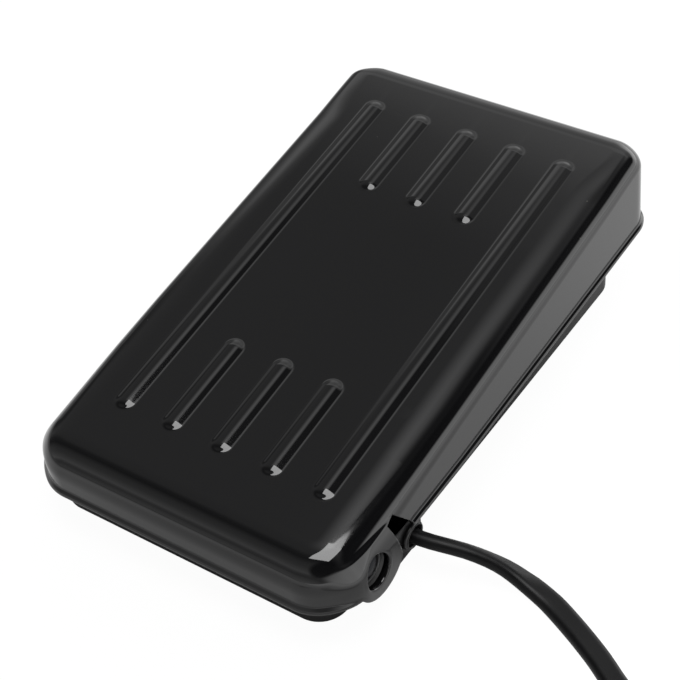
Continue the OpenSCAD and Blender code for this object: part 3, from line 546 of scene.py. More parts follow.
# Dark parts of the room, behind the camera, high on the right and low on the left: the way there, the
# cosines between which the dark sets in, and the share of light left
DARK_PARTS = (
    ((0.45, -0.58, 0.68), 0.86, 0.95, 0.08),
    ((0.75, 0.45, 0.49), 0.8, 0.93, 0.05),
    ((-0.88, 0.46, 0.12), 0.9, 0.97, 0.35))


class PEDAL_OT_stage(bpy.types.Operator):
    """Camera at the photograph's angle, a white floor, a softbox above and a dim room"""
    bl_idname = "pedal.stage"
    bl_label = "Stage"

    def execute(self, context):
        scene = context.scene
        scene.view_settings.view_transform = "Standard"
        data = bpy.data.cameras.new("camera")
        data.sensor_width = CAMERA_SENSOR
        data.lens = CAMERA_LENS
        data.clip_start = 0.01
        camera = bpy.data.objects.new("camera", data)
        scene.collection.objects.link(camera)
        azimuth, elevation, roll = (math.radians(a) for a in CAMERA_TURNS)
        camera.matrix_world = (
            Matrix.Translation(CAMERA_PLACE) @ Matrix.Rotation(azimuth, 4, "Z")
            @ Matrix.Rotation(QUARTER - elevation, 4, "X") @ Matrix.Rotation(roll, 4, "Z"))
        scene.camera = camera
        self.add_floor(scene)
        self.add_world(scene)
        lamp = bpy.data.lights.new("softbox", "AREA")
        lamp.shape = "RECTANGLE"
        lamp.size = SOFTBOX_W
        lamp.size_y = SOFTBOX_D
        lamp.energy = math.pi * SOFTBOX_W * SOFTBOX_D * SOFTBOX_RADIANCE
        softbox = bpy.data.objects.new("softbox", lamp)
        scene.collection.objects.link(softbox)
        softbox.location = SOFTBOX_PLACE
        softbox.rotation_euler = Vector((0, 0, -1)).to_track_quat("-Z", "Y").to_euler()
        return {"FINISHED"}

    def add_floor(self, scene):
        bm = bmesh.new()
        bmesh.ops.create_grid(bm, x_segments=1, y_segments=1, size=6)
        mesh = bpy.data.meshes.new("floor")
        bm.to_mesh(mesh)
        bm.free()
        floor = bpy.data.objects.new("floor", mesh)
        scene.collection.objects.link(floor)
        # White paper: the camera sees it white with a faint shadow; mirrors see its true shade near the
        # pedal, and farther off a painted glow instead, dimmer on the left and brighter on the right
        paper = bpy.data.materials.new("white_paper_with_painted_glow")
        paper.use_nodes = True
        tree = paper.node_tree
        tree.nodes.clear()
        place = node(tree, "ShaderNodeTexCoord").outputs["Object"]
        across = node(tree, "ShaderNodeSeparateXYZ", (place,)).outputs["X"]
        shrunk = node(tree, "ShaderNodeVectorMath", (place, (1.0, 0.62, 1.0), (0.0, 0.019, 0.0)),
                      operation="MULTIPLY_ADD").outputs["Vector"]
        away = node(tree, "ShaderNodeVectorMath", (shrunk,), operation="LENGTH").outputs["Value"]
        # Strength of the painted glow: it rises to the right, and mirrors see it lowered on the left
        far, painted_glow_right, dim = (
            node(tree, "ShaderNodeMapRange", change, interpolation_type="SMOOTHSTEP").outputs["Result"]
            for change in ((away, 0.03, 0.12, 0.0, 1.0), (across, 0.06, 0.2, 1.025, 1.9),
                           (across, -0.25, -0.07, -0.6, 0.0)))
        rays = node(tree, "ShaderNodeLightPath").outputs
        left = node(tree, "ShaderNodeMath", (rays["Is Glossy Ray"], dim, 1.0), operation="MULTIPLY_ADD")
        shade = node(tree, "ShaderNodeMath", (painted_glow_right, left.outputs["Value"]), operation="MULTIPLY")
        strength = node(tree, "ShaderNodeMath", (far, 0.04, shade.outputs["Value"]), operation="MULTIPLY_ADD")
        mirrored = node(tree, "ShaderNodeMath", (rays["Is Glossy Ray"], far), operation="MULTIPLY")
        share = node(tree, "ShaderNodeMath", (mirrored.outputs["Value"], 0.9), operation="MULTIPLY")
        part = node(tree, "ShaderNodeMath", (rays["Is Camera Ray"], 0.94, share.outputs["Value"]),
                    operation="MULTIPLY_ADD")
        diffuse = node(tree, "ShaderNodeBsdfDiffuse", {"Color": linear("#cecece")})
        glow = node(tree, "ShaderNodeEmission", {"Strength": strength.outputs["Value"]})
        mix = node(tree, "ShaderNodeMixShader", (
            part.outputs["Value"], diffuse.outputs["BSDF"], glow.outputs["Emission"]))
        node(tree, "ShaderNodeOutputMaterial", {"Surface": mix.outputs["Shader"]})
        mesh.materials.append(paper)

    def add_world(self, scene):
        world = bpy.data.worlds.new("studio")
        world.use_nodes = True
        scene.world = world
        tree = world.node_tree
        tree.nodes.clear()
        # A dim room, seen from below as on a map: u to the right, v to the rear, the zenith in its middle
        way = node(tree, "ShaderNodeTexCoord").outputs["Generated"]
        parts = node(tree, "ShaderNodeSeparateXYZ", (way,)).outputs
        over = node(tree, "ShaderNodeMath", (parts["Z"], 1.0001), operation="ADD").outputs["Value"]
        u, v = (node(tree, "ShaderNodeMath", (parts[axis], over), operation="DIVIDE").outputs["Value"]
                for axis in ("X", "Y"))
        along = node(tree, "ShaderNodeMapRange", (v, -1.0, 1.0, 0.0, 1.0))
        ramp = node(tree, "ShaderNodeValToRGB", (along.outputs["Result"],))
        stops = ramp.color_ramp.elements
        stops[0].color = stops[1].color = (ROOM_ENDS, ROOM_ENDS, ROOM_ENDS, 1)
        for place, level in ROOM_LEVELS:
            stops.new((place + 1) / 2).color = (level, level, level, 1)
        light = ramp.outputs["Color"]
        for towards, first, last, left in DARK_PARTS:
            turned = node(tree, "ShaderNodeVectorMath", (way, towards), operation="DOT_PRODUCT")
            light = self.shaded(tree, light, (turned.outputs["Value"], first, last, 1.0, left))
        # A dark gap behind the softbox
        gap = self.shaded(tree, 1.0, (v, 0.1, 0.13, 0.0, 1.0), (v, 0.19, 0.25, 1.0, 0.0),
                          (u, -0.09, -0.03, 0.0, 1.0), (u, 0.3, 0.45, 1.0, 0.0))
        light = self.shaded(tree, light, (gap, 0.0, 1.0, 1.0, 0.2))
        # A bright seam left of the softbox, which runs to the rear, and a pale wall low down on the right
        seam = self.shaded(tree, 1.0, (u, -0.24, -0.06, 0.0, 1.0), (u, -0.05, 0.04, 1.0, 0.0),
                           (v, 0.04, 0.12, 0.0, 1.0), (v, 0.12, 0.34, 1.2, 0.2))
        right = node(tree, "ShaderNodeVectorMath", (way, (0.85, 0.53, 0.0)), operation="DOT_PRODUCT")
        wall = self.shaded(tree, 1.0, (right.outputs["Value"], 0.0, 0.8, 0.0, 2.2),
                           (parts["Z"], 0.28, 0.46, 1.0, 0.0))
        for more in (seam, wall):
            light = node(tree, "ShaderNodeMath", (light, more), operation="ADD").outputs["Value"]
        # The camera sees white
        room, white = (
            node(tree, "ShaderNodeBackground", (linear("#ffffff"), strength)).outputs["Background"]
            for strength in (light, 1.0))
        seen = node(tree, "ShaderNodeLightPath").outputs["Is Camera Ray"]
        mix = node(tree, "ShaderNodeMixShader", (seen, room, white))
        node(tree, "ShaderNodeOutputWorld", {"Surface": mix.outputs["Shader"]})

    def shaded(self, tree, light, *changes):
        """Light times soft changes: each a value, the range that counts, the shares before and after it."""
        for change in changes:
            share = node(tree, "ShaderNodeMapRange", change, interpolation_type="SMOOTHSTEP")
            product = node(tree, "ShaderNodeMath", (light, share.outputs["Result"]), operation="MULTIPLY")
            light = product.outputs["Value"]
        return light


class PEDAL_OT_finishes(bpy.types.Operator):
    """Makes the finishes and gives them to the CAD nodes that stay in view"""
    bl_idname = "pedal.finishes"
    bl_label = "Finishes"

    def execute(self, context):
        finishes.update(make_finishes(context.scene.pedal_colours))
        slots = {
            "zinc": ("push_yoke", "spring_cup", "limit_hook", "lever", "lever_brackets", "cord_clamp"),
            "steel": ("lever_pin", "bracket_rivets"),
            "brass": ("contact_buttons", "terminal_plates", "contact_bridge", "bridge_rivets"),
            "carbon": ("carbon_discs",),
            "ceramic": ("rheostat_block",),
            "fibre": ("bridge_insulator",),
            "rubber": ("rubber_feet",),
            "nickel": ("plug_pins",),
        }
        for slot, names in slots.items():
            for name in names:
                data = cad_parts[name].data
                data.materials.clear()
                data.materials.append(finishes[slot])
        return {"FINISHED"}


class PEDAL_OT_plug(bpy.types.Operator):
    """Flat two-pin plug with a ringed strain relief"""
    bl_idname = "pedal.plug"
    bl_label = "Plug"

    def execute(self, context):
        low, high = box_mm("plug_body")
        middle = (low + high) / 2
        half_h = (high.z - low.z) / 2
        body_l = 32
        back_x = low.x + body_l
        bm = block(body_l, high.y - low.y, high.z - low.z)
        # Behind its middle the body narrows towards the cord, more in width than in height
        narrower, lower = 0.52, 0.34
        front = cut(bm, bm.faces[:], (body_l * 0.06, 0, 0), (1, 0, 0))
        cut(bm, front, (body_l * 0.34, 0, 0), (1, 0, 0))
        for v in bm.verts:
            shrink = smooth_step(0.05 * body_l, 0.55 * body_l, v.co.x)
            v.co.y *= 1 - narrower * shrink
            v.co.z *= 1 - lower * shrink
        bevel(bm, edges_along(bm, 0, 0.5), half_h * 0.55, 6)
        ends = [e for e in bm.edges if len(e.link_faces) == 2 and e.calc_face_angle(0) > 0.9]
        bevel(bm, ends, 0.9, 3)
        bmesh.ops.translate(bm, vec=(low.x + body_l / 2, middle.y, middle.z), verts=bm.verts)
        # Relief: a taper with soft rings, from inside the body to the cord
        inside = 2.0
        reach = high.x - back_x
        rings = 5
        relief_r = 4.4
        taper = 1.0
        groove = 0.45
        profile = [(0.0, -inside)]
        for t in steps(0, 1, rings * 6 + 1):
            sunk = groove * max(math.sin(2 * math.pi * rings * t), 0) ** 2
            profile.append((relief_r - taper * t - sunk, -inside + (reach + inside) * t))
        profile.append((0.0, reach))
        join(bm, round_solid(profile, 32),
             Matrix.Translation((back_x, middle.y, middle.z)) @ Matrix.Rotation(QUARTER, 4, "Y"))
        weighted_normals(place_piece(bm, "plug_shell", "plug_plastic", "base", ["plug_body"]))
        return {"FINISHED"}


class PEDAL_OT_cord(bpy.types.Operator):
    """Flat mains cord from the clamp to the plug, with its hidden length in a tied coil"""
    bl_idname = "pedal.cord"
    bl_label = "Cord"

    def execute(self, context):
        s = in_mm(context.scene.pedal_cord)
        start = exit_place()
        run = smooth_run(list(LEAD_ROUTE) + coil_route(s) + list(TAIL_ROUTE), ROUTE_SPACING)
        points = [Vector((p[0] + start.x, p[1] + start.y, p[2])) for p in run]
        tilts = [-math.radians(p[3]) for p in run]
        round_r = s.thick / 2
        flat = s.width / 2 - round_r
        section = arc((flat, 0), round_r, -90, 90, 9) + arc((-flat, 0), round_r, 90, 270, 9)
        bm = tube("mains_cord", points, section, tilts)
        cord = place_piece(
            bm, "mains_cord", "cord_pvc", "base", ["cord_lead", "cord_coil", "cord_tail"])
        tie = self.add_tie(s, start)
        # The coil lies out of view, so it stays out of the enamel's mirror image too
        for hidden in (cord, tie, bpy.data.objects["plug_shell"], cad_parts["plug_pins"]):
            hidden.visible_glossy = False
        return {"FINISHED"}

    def add_tie(self, s, start):
        """A flat strap closed around the turns of the coil."""
        inner_w = 3 * s.width + 1
        inner_h = 2 * s.thick + 0.4
        strap_r = 1.6
        bm = block(inner_w + 2 * s.tie_t, s.tie_w, inner_h + 2 * s.tie_t)
        bevel(bm, edges_along(bm, 1, 1), strap_r, 5)
        bmesh.ops.delete(bm, geom=[f for f in bm.faces if abs(f.normal.y) > 0.9], context="FACES")
        place = Matrix.Translation((
            start.x + COIL_FROM_EXIT[0] - s.coil_r, start.y + COIL_FROM_EXIT[1], inner_h / 2 + s.tie_t))
        tie = place_piece(bm, "coil_strap", "plug_plastic", "base", ["coil_tie"], place)
        thicken(tie, s.tie_t)
        return tie


# Small forms of the cover, in millimetres: the curl of the rim's edge, how much lower the hem is along the
# sides, the ledges over the ears, how much lower the left one's crease is, the height up to which the wall
# follows the rim, and the slit behind the right ear
CURL_H = 0.3
CURL_IN = 0.32
SIDE_HEM_LESS = 0.35
RIGHT_LEDGE = 0.3
LEFT_LEDGE = 1.5
LEFT_CREASE_LESS = 2
RIM_TURN_H = 4.6
SLIT_FROM_EAR = 0.2
SLIT_W = 1.3


class PEDAL_OT_cover(bpy.types.Operator):
    """Pressed cover: a wedge-shaped pan with ribs, hem, hinge ears and cord notch"""
    bl_idname = "pedal.cover"
    bl_label = "Cover"

    def execute(self, context):
        s = in_mm(context.scene.pedal_cover)
        bm = self.pan(s)
        self.raise_ribs(bm, s)
        self.cut_notch(bm, s)
        for side in (-1, 1):
            self.draw_collar(bm, s, side)
        bmesh.ops.recalc_face_normals(bm, faces=bm.faces)
        if sum(f.normal.z * f.calc_area() for f in bm.faces) < 0:
            bmesh.ops.reverse_faces(bm, faces=bm.faces)
        front = -s.long * math.cos(s.rest_tilt) / 2
        to_part = Matrix.Translation((0, front, s.rim_z)) @ Matrix.Rotation(s.rest_tilt, 4, "X")
        cover = place_piece(bm, "pressed_cover", "enamel", "cover", ["cover"], to_part)
        thicken(cover, s.sheet)
        weighted_normals(cover)
        return {"FINISHED"}

    def top_height(self, s, y):
        return s.front_h + y * math.tan(s.wedge)

    def pan(self, s):
        """The pan in columns around its outline and rows from the rim up to the plain top, open below."""
        bm = bmesh.new()
        columns = [[bm.verts.new(p) for p in self.section(s, *place)] for place in self.outline(s)]
        for one, two in zip(columns, columns[1:] + columns[:1]):
            for corners in zip(one, two, two[1:], one[1:]):
                bm.faces.new(corners)
        bm.faces.new([column[-1] for column in columns])
        return bm

    def outline(self, s):
        """Feet of the walls and the ways they face, all round: fine in the front corners and by the ears."""
        half = s.width / 2 - s.hem_out
        inner = half - s.corner_r
        front = s.hem_out + s.corner_r
        rear_inner = half - s.rear_corner_r
        rear = s.long - s.hem_out - s.rear_corner_r
        near = s.ear_rear + s.notch_l + 4
        bend = rear - 24
        side = steps(front, s.ear_rear, 42) + steps(s.ear_rear, near, 40)[1:]
        side += steps(near, bend, 6)[1:] + steps(bend, rear, 20)[1:]
        walk = [(Vector((x, s.hem_out, 0)), Vector((0, -1, 0))) for x in steps(0, inner, 4)[:-1]]
        for a in steps(-QUARTER, 0, 42):
            way = Vector((math.cos(a), math.sin(a), 0))
            walk.append((Vector((inner, front, 0)) + way * s.corner_r, way))
        walk += [(Vector((half, y, 0)), Vector((1, 0, 0))) for y in side[1:-1]]
        for a in steps(0, QUARTER, 16):
            way = Vector((math.cos(a), math.sin(a), 0))
            walk.append((Vector((rear_inner, rear, 0)) + way * s.rear_corner_r, way))
        walk += [(Vector((x, s.long - s.hem_out, 0)), Vector((0, 1, 0))) for x in steps(rear_inner, 0, 4)[1:]]
        flip = Matrix.Diagonal((-1, 1, 1))
        return walk + [(flip @ foot, flip @ way) for foot, way in reversed(walk[1:-1])]

    def section(self, s, foot, out):
        """Points of one column: wall, round edge and bend of the top, moved where hem and ear stand out."""
        up = Vector((0, 0, 1))
        top_way = Vector((0, -math.sin(s.wedge), math.cos(s.wedge)))
        wall_way = out * math.cos(s.draft) + up * math.sin(s.draft)
        # Edge and crown go from the front's sizes to the sides', and flatten towards the rear
        back = smooth_step(0, 50, foot.y)
        tail = smooth_step(s.long - 26, s.long - 9, foot.y)
        turn = smooth_step(0, 1, out.y)
        edge_r = s.edge_r + (s.side_r - s.edge_r) * back * (1 - 0.8 * turn)
        crown_w = s.crown_w + (s.side_crown_w - s.crown_w) * back
        crown_w *= (1 - 0.5 * tail) * (1 - 0.75 * turn)
        crown = s.crown + (s.side_crown - s.crown) * back
        crown *= (1 - 0.4 * tail) * (1 - 0.85 * turn)
        sunk = crown_w / 2 * math.tan(crown) + edge_r * math.cos(crown)
        # Middle of a ball that rolls along the edge inside wall and top
        ball = foot.copy()
        for _ in range(4):
            ball = foot - out * (ball.z * math.tan(s.draft) + edge_r)
            ball.z = self.top_height(s, ball.y) - sunk / math.cos(s.wedge)
        wall_top = ball.z + edge_r * math.sin(s.draft)
        # Wall, its rows close together over the curl and the hem
        hem_z = 2.4
        points = []
        for z in steps(0, CURL_H, 4) + steps(0.55, hem_z, 9) + steps(hem_z, wall_top, 14)[1:-1]:
            points.append(foot + up * z - out * z * math.tan(s.draft))
        # Round edge, its rows close together at the crease over an ear
        whole = wall_way.angle(top_way)
        crease = math.asin(min(max((s.crease_z - ball.z) / edge_r, 0.3), 0.75))
        close = 1 / (edge_r * math.cos(crease))
        low, high = crease - 0.7 * close, crease + 0.7 * close
        for a in steps(0, low, 9) + steps(low, high, 12)[1:-1] + steps(high, whole - crown, 15):
            points.append(ball + wall_way.slerp(top_way, a / whole) * edge_r)
        # Bend of the top up to its plain part
        brow = points[-1].copy()
        for t in steps(0, crown_w, 9)[1:]:
            place = brow - out * t
            place.z = self.top_height(s, place.y) - (crown_w - t) ** 2 / (2 * crown_w) * math.tan(crown)
            points.append(place)
        return [self.shaped(s, p, foot, out) for p in points]

    def shaped(self, s, place, foot, out):
        """A point of the plain pan moved out for the hem and the ear, and down for the ear's round end."""
        ear = self.ear_share(s, place)
        # The hem is lower along the sides, and the rim's edge curls in
        hem = s.hem_h - SIDE_HEM_LESS * smooth_step(0.7, 1, abs(out.x))
        flare = s.hem_out * min(max((hem - place.z) / (hem - s.hem_lip), 0), 1) * (1 - ear)
        curl = CURL_IN * max(1 - place.z / CURL_H, 0) ** 2
        inside = (foot - place).dot(out)
        crease = s.crease_z if place.x > 0 else s.crease_z - LEFT_CREASE_LESS
        ledge = RIGHT_LEDGE if place.x > 0 else LEFT_LEDGE
        above = 1 - smooth_step(crease - 0.35, crease + ledge, place.z)
        step = max(self.ear_face(s, place.z, place.x) + inside, 0)
        moved = place + out * (flare - curl + ear * above * step)
        # Low down the wall follows the rim: down at the front and the ears, up over the bush
        if place.z < RIM_TURN_H and place.y < s.long / 3:
            low = -s.front_drop * (1 - smooth_step(1, 16, place.y))
            if abs(place.x) > s.width / 4 and (place.x < 0 or place.y < s.ear_rear + 0.01):
                low = min(low, self.rim_line(s, place.y))
            elif place.x > s.width / 4:
                low += s.bush_room * (1 - smooth_step(1, 13, abs(place.y - s.bush_y)))
            moved.z = low + place.z * (RIM_TURN_H - low) / RIM_TURN_H
        return moved

    def raise_ribs(self, bm, s):
        """Cuts the top along and across the ribs and lifts their crests."""
        bm.normal_update()
        both_r = s.rib_crest_r + s.rib_foot_r
        reach = math.sqrt(both_r ** 2 - (both_r - s.rib_h) ** 2)
        end = s.rib_start + 2 * s.rib_short + s.rib_plain
        front_end = s.rib_start + s.rib_short
        rear_start = end - s.rib_short
        ribs = [(k, s.rib_start, end) for k in (-2, 2)]
        ribs += [(k, s.rib_start, front_end) for k in (-1, 0, 1)]
        ribs += [(k, rear_start, end) for k in (-1, 0, 1)]
        faces = [max(bm.faces, key=lambda f: f.calc_area() * f.normal.z)]
        rise = Vector((0, -math.sin(s.wedge), math.cos(s.wedge)))
        for k in range(-2, 3):
            for x in steps(k * s.rib_pitch - reach, k * s.rib_pitch + reach, 25):
                faces = cut(bm, faces, (x, 0, 0), (1, 0, 0))
        for at, way in ((s.rib_start, -1), (front_end, 1), (rear_start, -1), (end, 1)):
            for y in steps(at, at + way * reach, 13):
                faces = cut(bm, faces, (0, y, 0), (0, 1, 0))
        turn = reach * s.rib_crest_r / both_r
        for v in {v for f in faces for v in f.verts}:
            away = min(math.hypot(v.co.x - k * s.rib_pitch, v.co.y - min(max(v.co.y, a), b))
                       for k, a, b in ribs)
            if away < turn:
                v.co += rise * (s.rib_h - s.rib_crest_r + math.sqrt(s.rib_crest_r ** 2 - away ** 2))
            elif away < reach:
                v.co += rise * (s.rib_foot_r - math.sqrt(s.rib_foot_r ** 2 - (reach - away) ** 2))

    def cut_notch(self, bm, s):
        """Opens the right wall behind its ear for the cord, up to the crease, between two sloping edges."""
        right = s.ear_rear + s.notch_l
        top_y = s.ear_rear + 1.5
        corners = [
            (right, 0), (top_y, s.notch_h), (top_y - s.notch_w, s.notch_h - 0.7),
            (s.ear_rear + SLIT_FROM_EAR, 0)]
        sides = []
        for (y, z), (to_y, to_z) in zip(corners, corners[1:]):
            sides.append((Vector((0, y, z)), Vector((0, to_z - z, y - to_y)).normalized()))
        patch = []
        for f in bm.faces:
            middle = f.calc_center_median()
            if middle.x > s.width / 4 and middle.z < 11 and s.ear_rear - 2.5 < middle.y < right + 1:
                patch.append(f)
        for place, way in sides:
            patch = cut(bm, patch, place, way)
        low = [f for f in patch if all((f.calc_center_median() - place).dot(way) < 0 for place, way in sides)]
        bmesh.ops.delete(bm, geom=low, context="FACES")

    def rim_line(self, s, y):
        """Height of the rim, which runs down round the ears."""
        across = y - s.hinge_back - s.ear_shift
        if abs(across) > s.ear_r:
            return 0
        return min(s.hinge_up - math.sqrt(s.ear_r ** 2 - across ** 2), 0)

    def ear_share(self, s, place):
        """1 on an ear and 0 off it, soft in the corner; a slit ends the right ear, a joggle the left."""
        if abs(place.x) < s.width / 4 or place.y > s.long / 2:
            return 0
        past = place.y - s.ear_rear
        past = (past - SLIT_FROM_EAR) / SLIT_W if place.x > 0 else past / s.joggle
        # The ear's front edge runs back towards its top
        late = 6 * smooth_step(5, 9.5, place.z)
        return smooth_step(3 + late / 2, 11 + late, place.y) * min(max(1 - past, 0), 1)

    def ear_face(self, s, z, side):
        """How far an ear's face stands out from the foot of the wall: it leans in towards its top."""
        lean = 0.039 if side > 0 else 0.055
        return s.ear_step - lean * max(z - 1.5, 0) ** 2

    def draw_collar(self, bm, s, side):
        """Opens an ear's bore and draws its collar inwards."""
        half = s.width / 2 - s.hem_out
        middle = Vector((side * half, s.hinge_back, s.hinge_up))
        wide = s.bore_r + s.bore_lip

        def within(place, radius):
            return place.x * side > half - 2 and (place - middle).yz.length < radius

        inside = [f for f in bm.faces if within(f.calc_center_median(), wide)]
        bmesh.ops.delete(bm, geom=inside, context="FACES")
        rim = [e for e in bm.edges if e.is_boundary and all(within(v.co, wide + 1.2) for v in e.verts)]
        places = [(wide - s.bore_lip * math.sin(a), s.bore_lip * (1 - math.cos(a)))
                  for a in steps(0, QUARTER, 6)]
        places.append((s.bore_r, s.collar))
        moved = {v for e in rim for v in e.verts}
        for i, (radius, depth) in enumerate(places):
            if i > 0:
                made = bmesh.ops.extrude_edge_only(bm, edges=rim)["geom"]
                rim = only(made, bmesh.types.BMEdge)
                moved = only(made, bmesh.types.BMVert)
            for v in moved:
                way = (v.co - middle).yz.normalized() * radius
                z = middle.z + way.y
                v.co = (side * (half + self.ear_face(s, z, side) - depth), middle.y + way.x, z)


class PEDAL_OT_tray(bpy.types.Operator):
    """Tray with round corners and two side wings that carry the hinge"""
    bl_idname = "pedal.tray"
    bl_label = "Tray"

    def execute(self, context):
        hinge = hinge_place()
        low, high = box_mm("base_tray")
        sheet = 1
        wing_out = 3
        half_w = high.x - wing_out
        front = low.y - 0.6
        rear = high.y - 2.2
        top_z = low.z + 13
        corner_r = 7
        floor_r = 0.6
        bm = block(2 * half_w, rear - front, top_z - low.z)
        bmesh.ops.translate(bm, vec=(0, (rear + front) / 2, (low.z + top_z) / 2), verts=bm.verts)
        bevel(bm, edges_along(bm, 2, 5), corner_r, 12)
        floor = min(bm.faces, key=lambda f: f.normal.z)
        bevel(bm, list(floor.edges), floor_r, 4)
        bm.normal_update()
        bmesh.ops.delete(bm, geom=[max(bm.faces, key=lambda f: f.normal.z)], context="FACES_ONLY")
        # Wings: the side walls pulled out between the hinge and the cord, then trimmed along their top
        post_w = 3.6
        first = hinge.y - post_w
        last = hinge.y + 20.4
        post_z = hinge.z + 3.3
        wing_z = low.z + 10
        foot_rise = 6
        sides = [f for f in bm.faces if abs(f.normal.x) > 0.95]
        for y in (first, hinge.y + post_w, hinge.y + 9, last):
            sides = cut(bm, sides, (0, y, 0), (0, 1, 0))
        for side in (-1, 1):
            pulled = [f for f in sides if f.is_valid and f.normal.x * side > 0.95 and
                      first < f.calc_center_median().y < last]
            made = bmesh.ops.extrude_face_region(bm, geom=pulled)["geom"]
            moved = only(made, bmesh.types.BMVert)
            bmesh.ops.delete(bm, geom=pulled, context="FACES")
            bmesh.ops.translate(bm, vec=(side * (high.x - half_w), 0, 0), verts=moved)
            bm.normal_update()
            lids = [f for f in bm.faces if f.normal.z > 0.9 and f.calc_center_median().z > top_z - 1]
            bmesh.ops.delete(bm, geom=lids, context="FACES_ONLY")
            for v in moved:
                if v.co.z > top_z - 1:
                    v.co.z = post_z if v.co.y < hinge.y + 5 else wing_z
                elif v.co.y < hinge.y:
                    v.co.z += foot_rise
        loose = [e for e in bm.edges if not e.link_faces]
        bmesh.ops.delete(bm, geom=loose, context="EDGES")
        bmesh.ops.recalc_face_normals(bm, faces=bm.faces)
        if sum(f.normal.z * f.calc_area() for f in bm.faces) > 0:
            bmesh.ops.reverse_faces(bm, faces=bm.faces)
        # Lip that the cover's hook catches under
        join(bm, block(24, 3.2, sheet), Matrix.Translation((0, rear + 0.6, top_z - sheet / 2)))
        tray = place_piece(bm, "tray_shell", "tray_enamel", "base", ["base_tray"])
        thicken(tray, sheet)
        weighted_normals(tray)
        return {"FINISHED"}


class PEDAL_OT_hinge(bpy.types.Operator):
    """Domed studs in the ears' bores and the rubber bush at the cord's exit"""
    bl_idname = "pedal.hinge"
    bl_label = "Hinge studs and grommet"

    def execute(self, context):
        s = in_mm(context.scene.pedal_cover)
        hinge = hinge_place()
        start = exit_place()
        wing_x = start.x
        sheet = 1.0
        tip = s.width / 2 - s.hem_out + s.ear_step - 1.7
        journal = s.bore_r - 0.05
        dome_h = 0.9
        dome_r = (journal ** 2 + dome_h ** 2) / (2 * dome_h)
        spread = math.degrees(math.asin(journal / dome_r))
        # Stud: a riveted head inside the wing, a neck in its hole, and the domed journal outside
        head_r = 3.1
        neck_r = 1.9
        profile = [
            (0, wing_x - 1.9), (head_r - 0.2, wing_x - 1.9), (head_r, wing_x - 1.7), (head_r, wing_x - sheet),
            (neck_r, wing_x - sheet), (neck_r, wing_x), (journal, wing_x)]
        profile += arc((0, tip - dome_r), dome_r, 90 - spread, 90, 8)
        bm = bmesh.new()
        for side in (-1, 1):
            join(bm, round_solid(profile),
                 Matrix.Translation((0, hinge.y, hinge.z)) @ Matrix.Rotation(side * QUARTER, 4, "Y"))
        weighted_normals(place_piece(bm, "domed_studs", "stud_steel", "base", ["pivot_studs"]))
        # Bush: a bead inside the wing, a groove for its sheet, and a round flange outside
        hole = 2.8
        bead = 3.5
        groove = 3.15
        flange = 3.5
        back = -2.6
        bush = [(hole, back), (bead, back), (bead, -sheet), (groove, -sheet), (groove, 0), (flange, 0),
                (flange, 0.3)]
        bush += arc((flange - 0.7, 0.3), 0.7, 0, 90, 7) + arc((hole + 0.35, 0.65), 0.35, 90, 180, 4)
        bush.append((hole, back))
        place_piece(
            round_solid(bush), "cord_bush", "rubber", "base", ["grommet"],
            Matrix.Translation(start) @ Matrix.Rotation(QUARTER, 4, "Y"))
        return {"FINISHED"}


class PEDAL_OT_spring(bpy.types.Operator):
    """Coiled return spring with closed ends"""
    bl_idname = "pedal.spring"
    bl_label = "Return spring"

    def execute(self, context):
        low, high = box_mm("return_spring")
        wire = 1.1
        outer_r = 4.5
        per_turn = 24
        middle = (low + high) / 2
        rise = high.z - low.z - wire
        bm = bmesh.new()
        ring = bmesh.ops.create_circle(bm, segments=10, radius=wire / 2, cap_ends=True)
        bmesh.ops.rotate(bm, cent=(0, 0, 0), matrix=Matrix.Rotation(QUARTER, 3, "X"), verts=ring["verts"])
        bmesh.ops.translate(bm, vec=(outer_r - wire / 2, 0, wire / 2), verts=ring["verts"])
        grown = bm.verts[:] + bm.edges[:] + bm.faces[:]
        for turns, climb in ((1, wire * 0.6), (6, rise - 1.2 * wire), (1, wire * 0.6)):
            made = bmesh.ops.spin(
                bm, geom=grown, cent=(0, 0, 0), axis=(0, 0, 1), dvec=(0, 0, climb / (turns * per_turn)),
                angle=2 * math.pi * turns, steps=turns * per_turn)
            grown = made["geom_last"]
        bmesh.ops.remove_doubles(bm, verts=bm.verts, dist=WELD)
        bmesh.ops.recalc_face_normals(bm, faces=bm.faces)
        spring = place_piece(
            bm, "coil_spring", "steel", "base", ["return_spring"],
            Matrix.Translation((middle.x, middle.y, low.z)))
        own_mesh(spring)
        return {"FINISHED"}


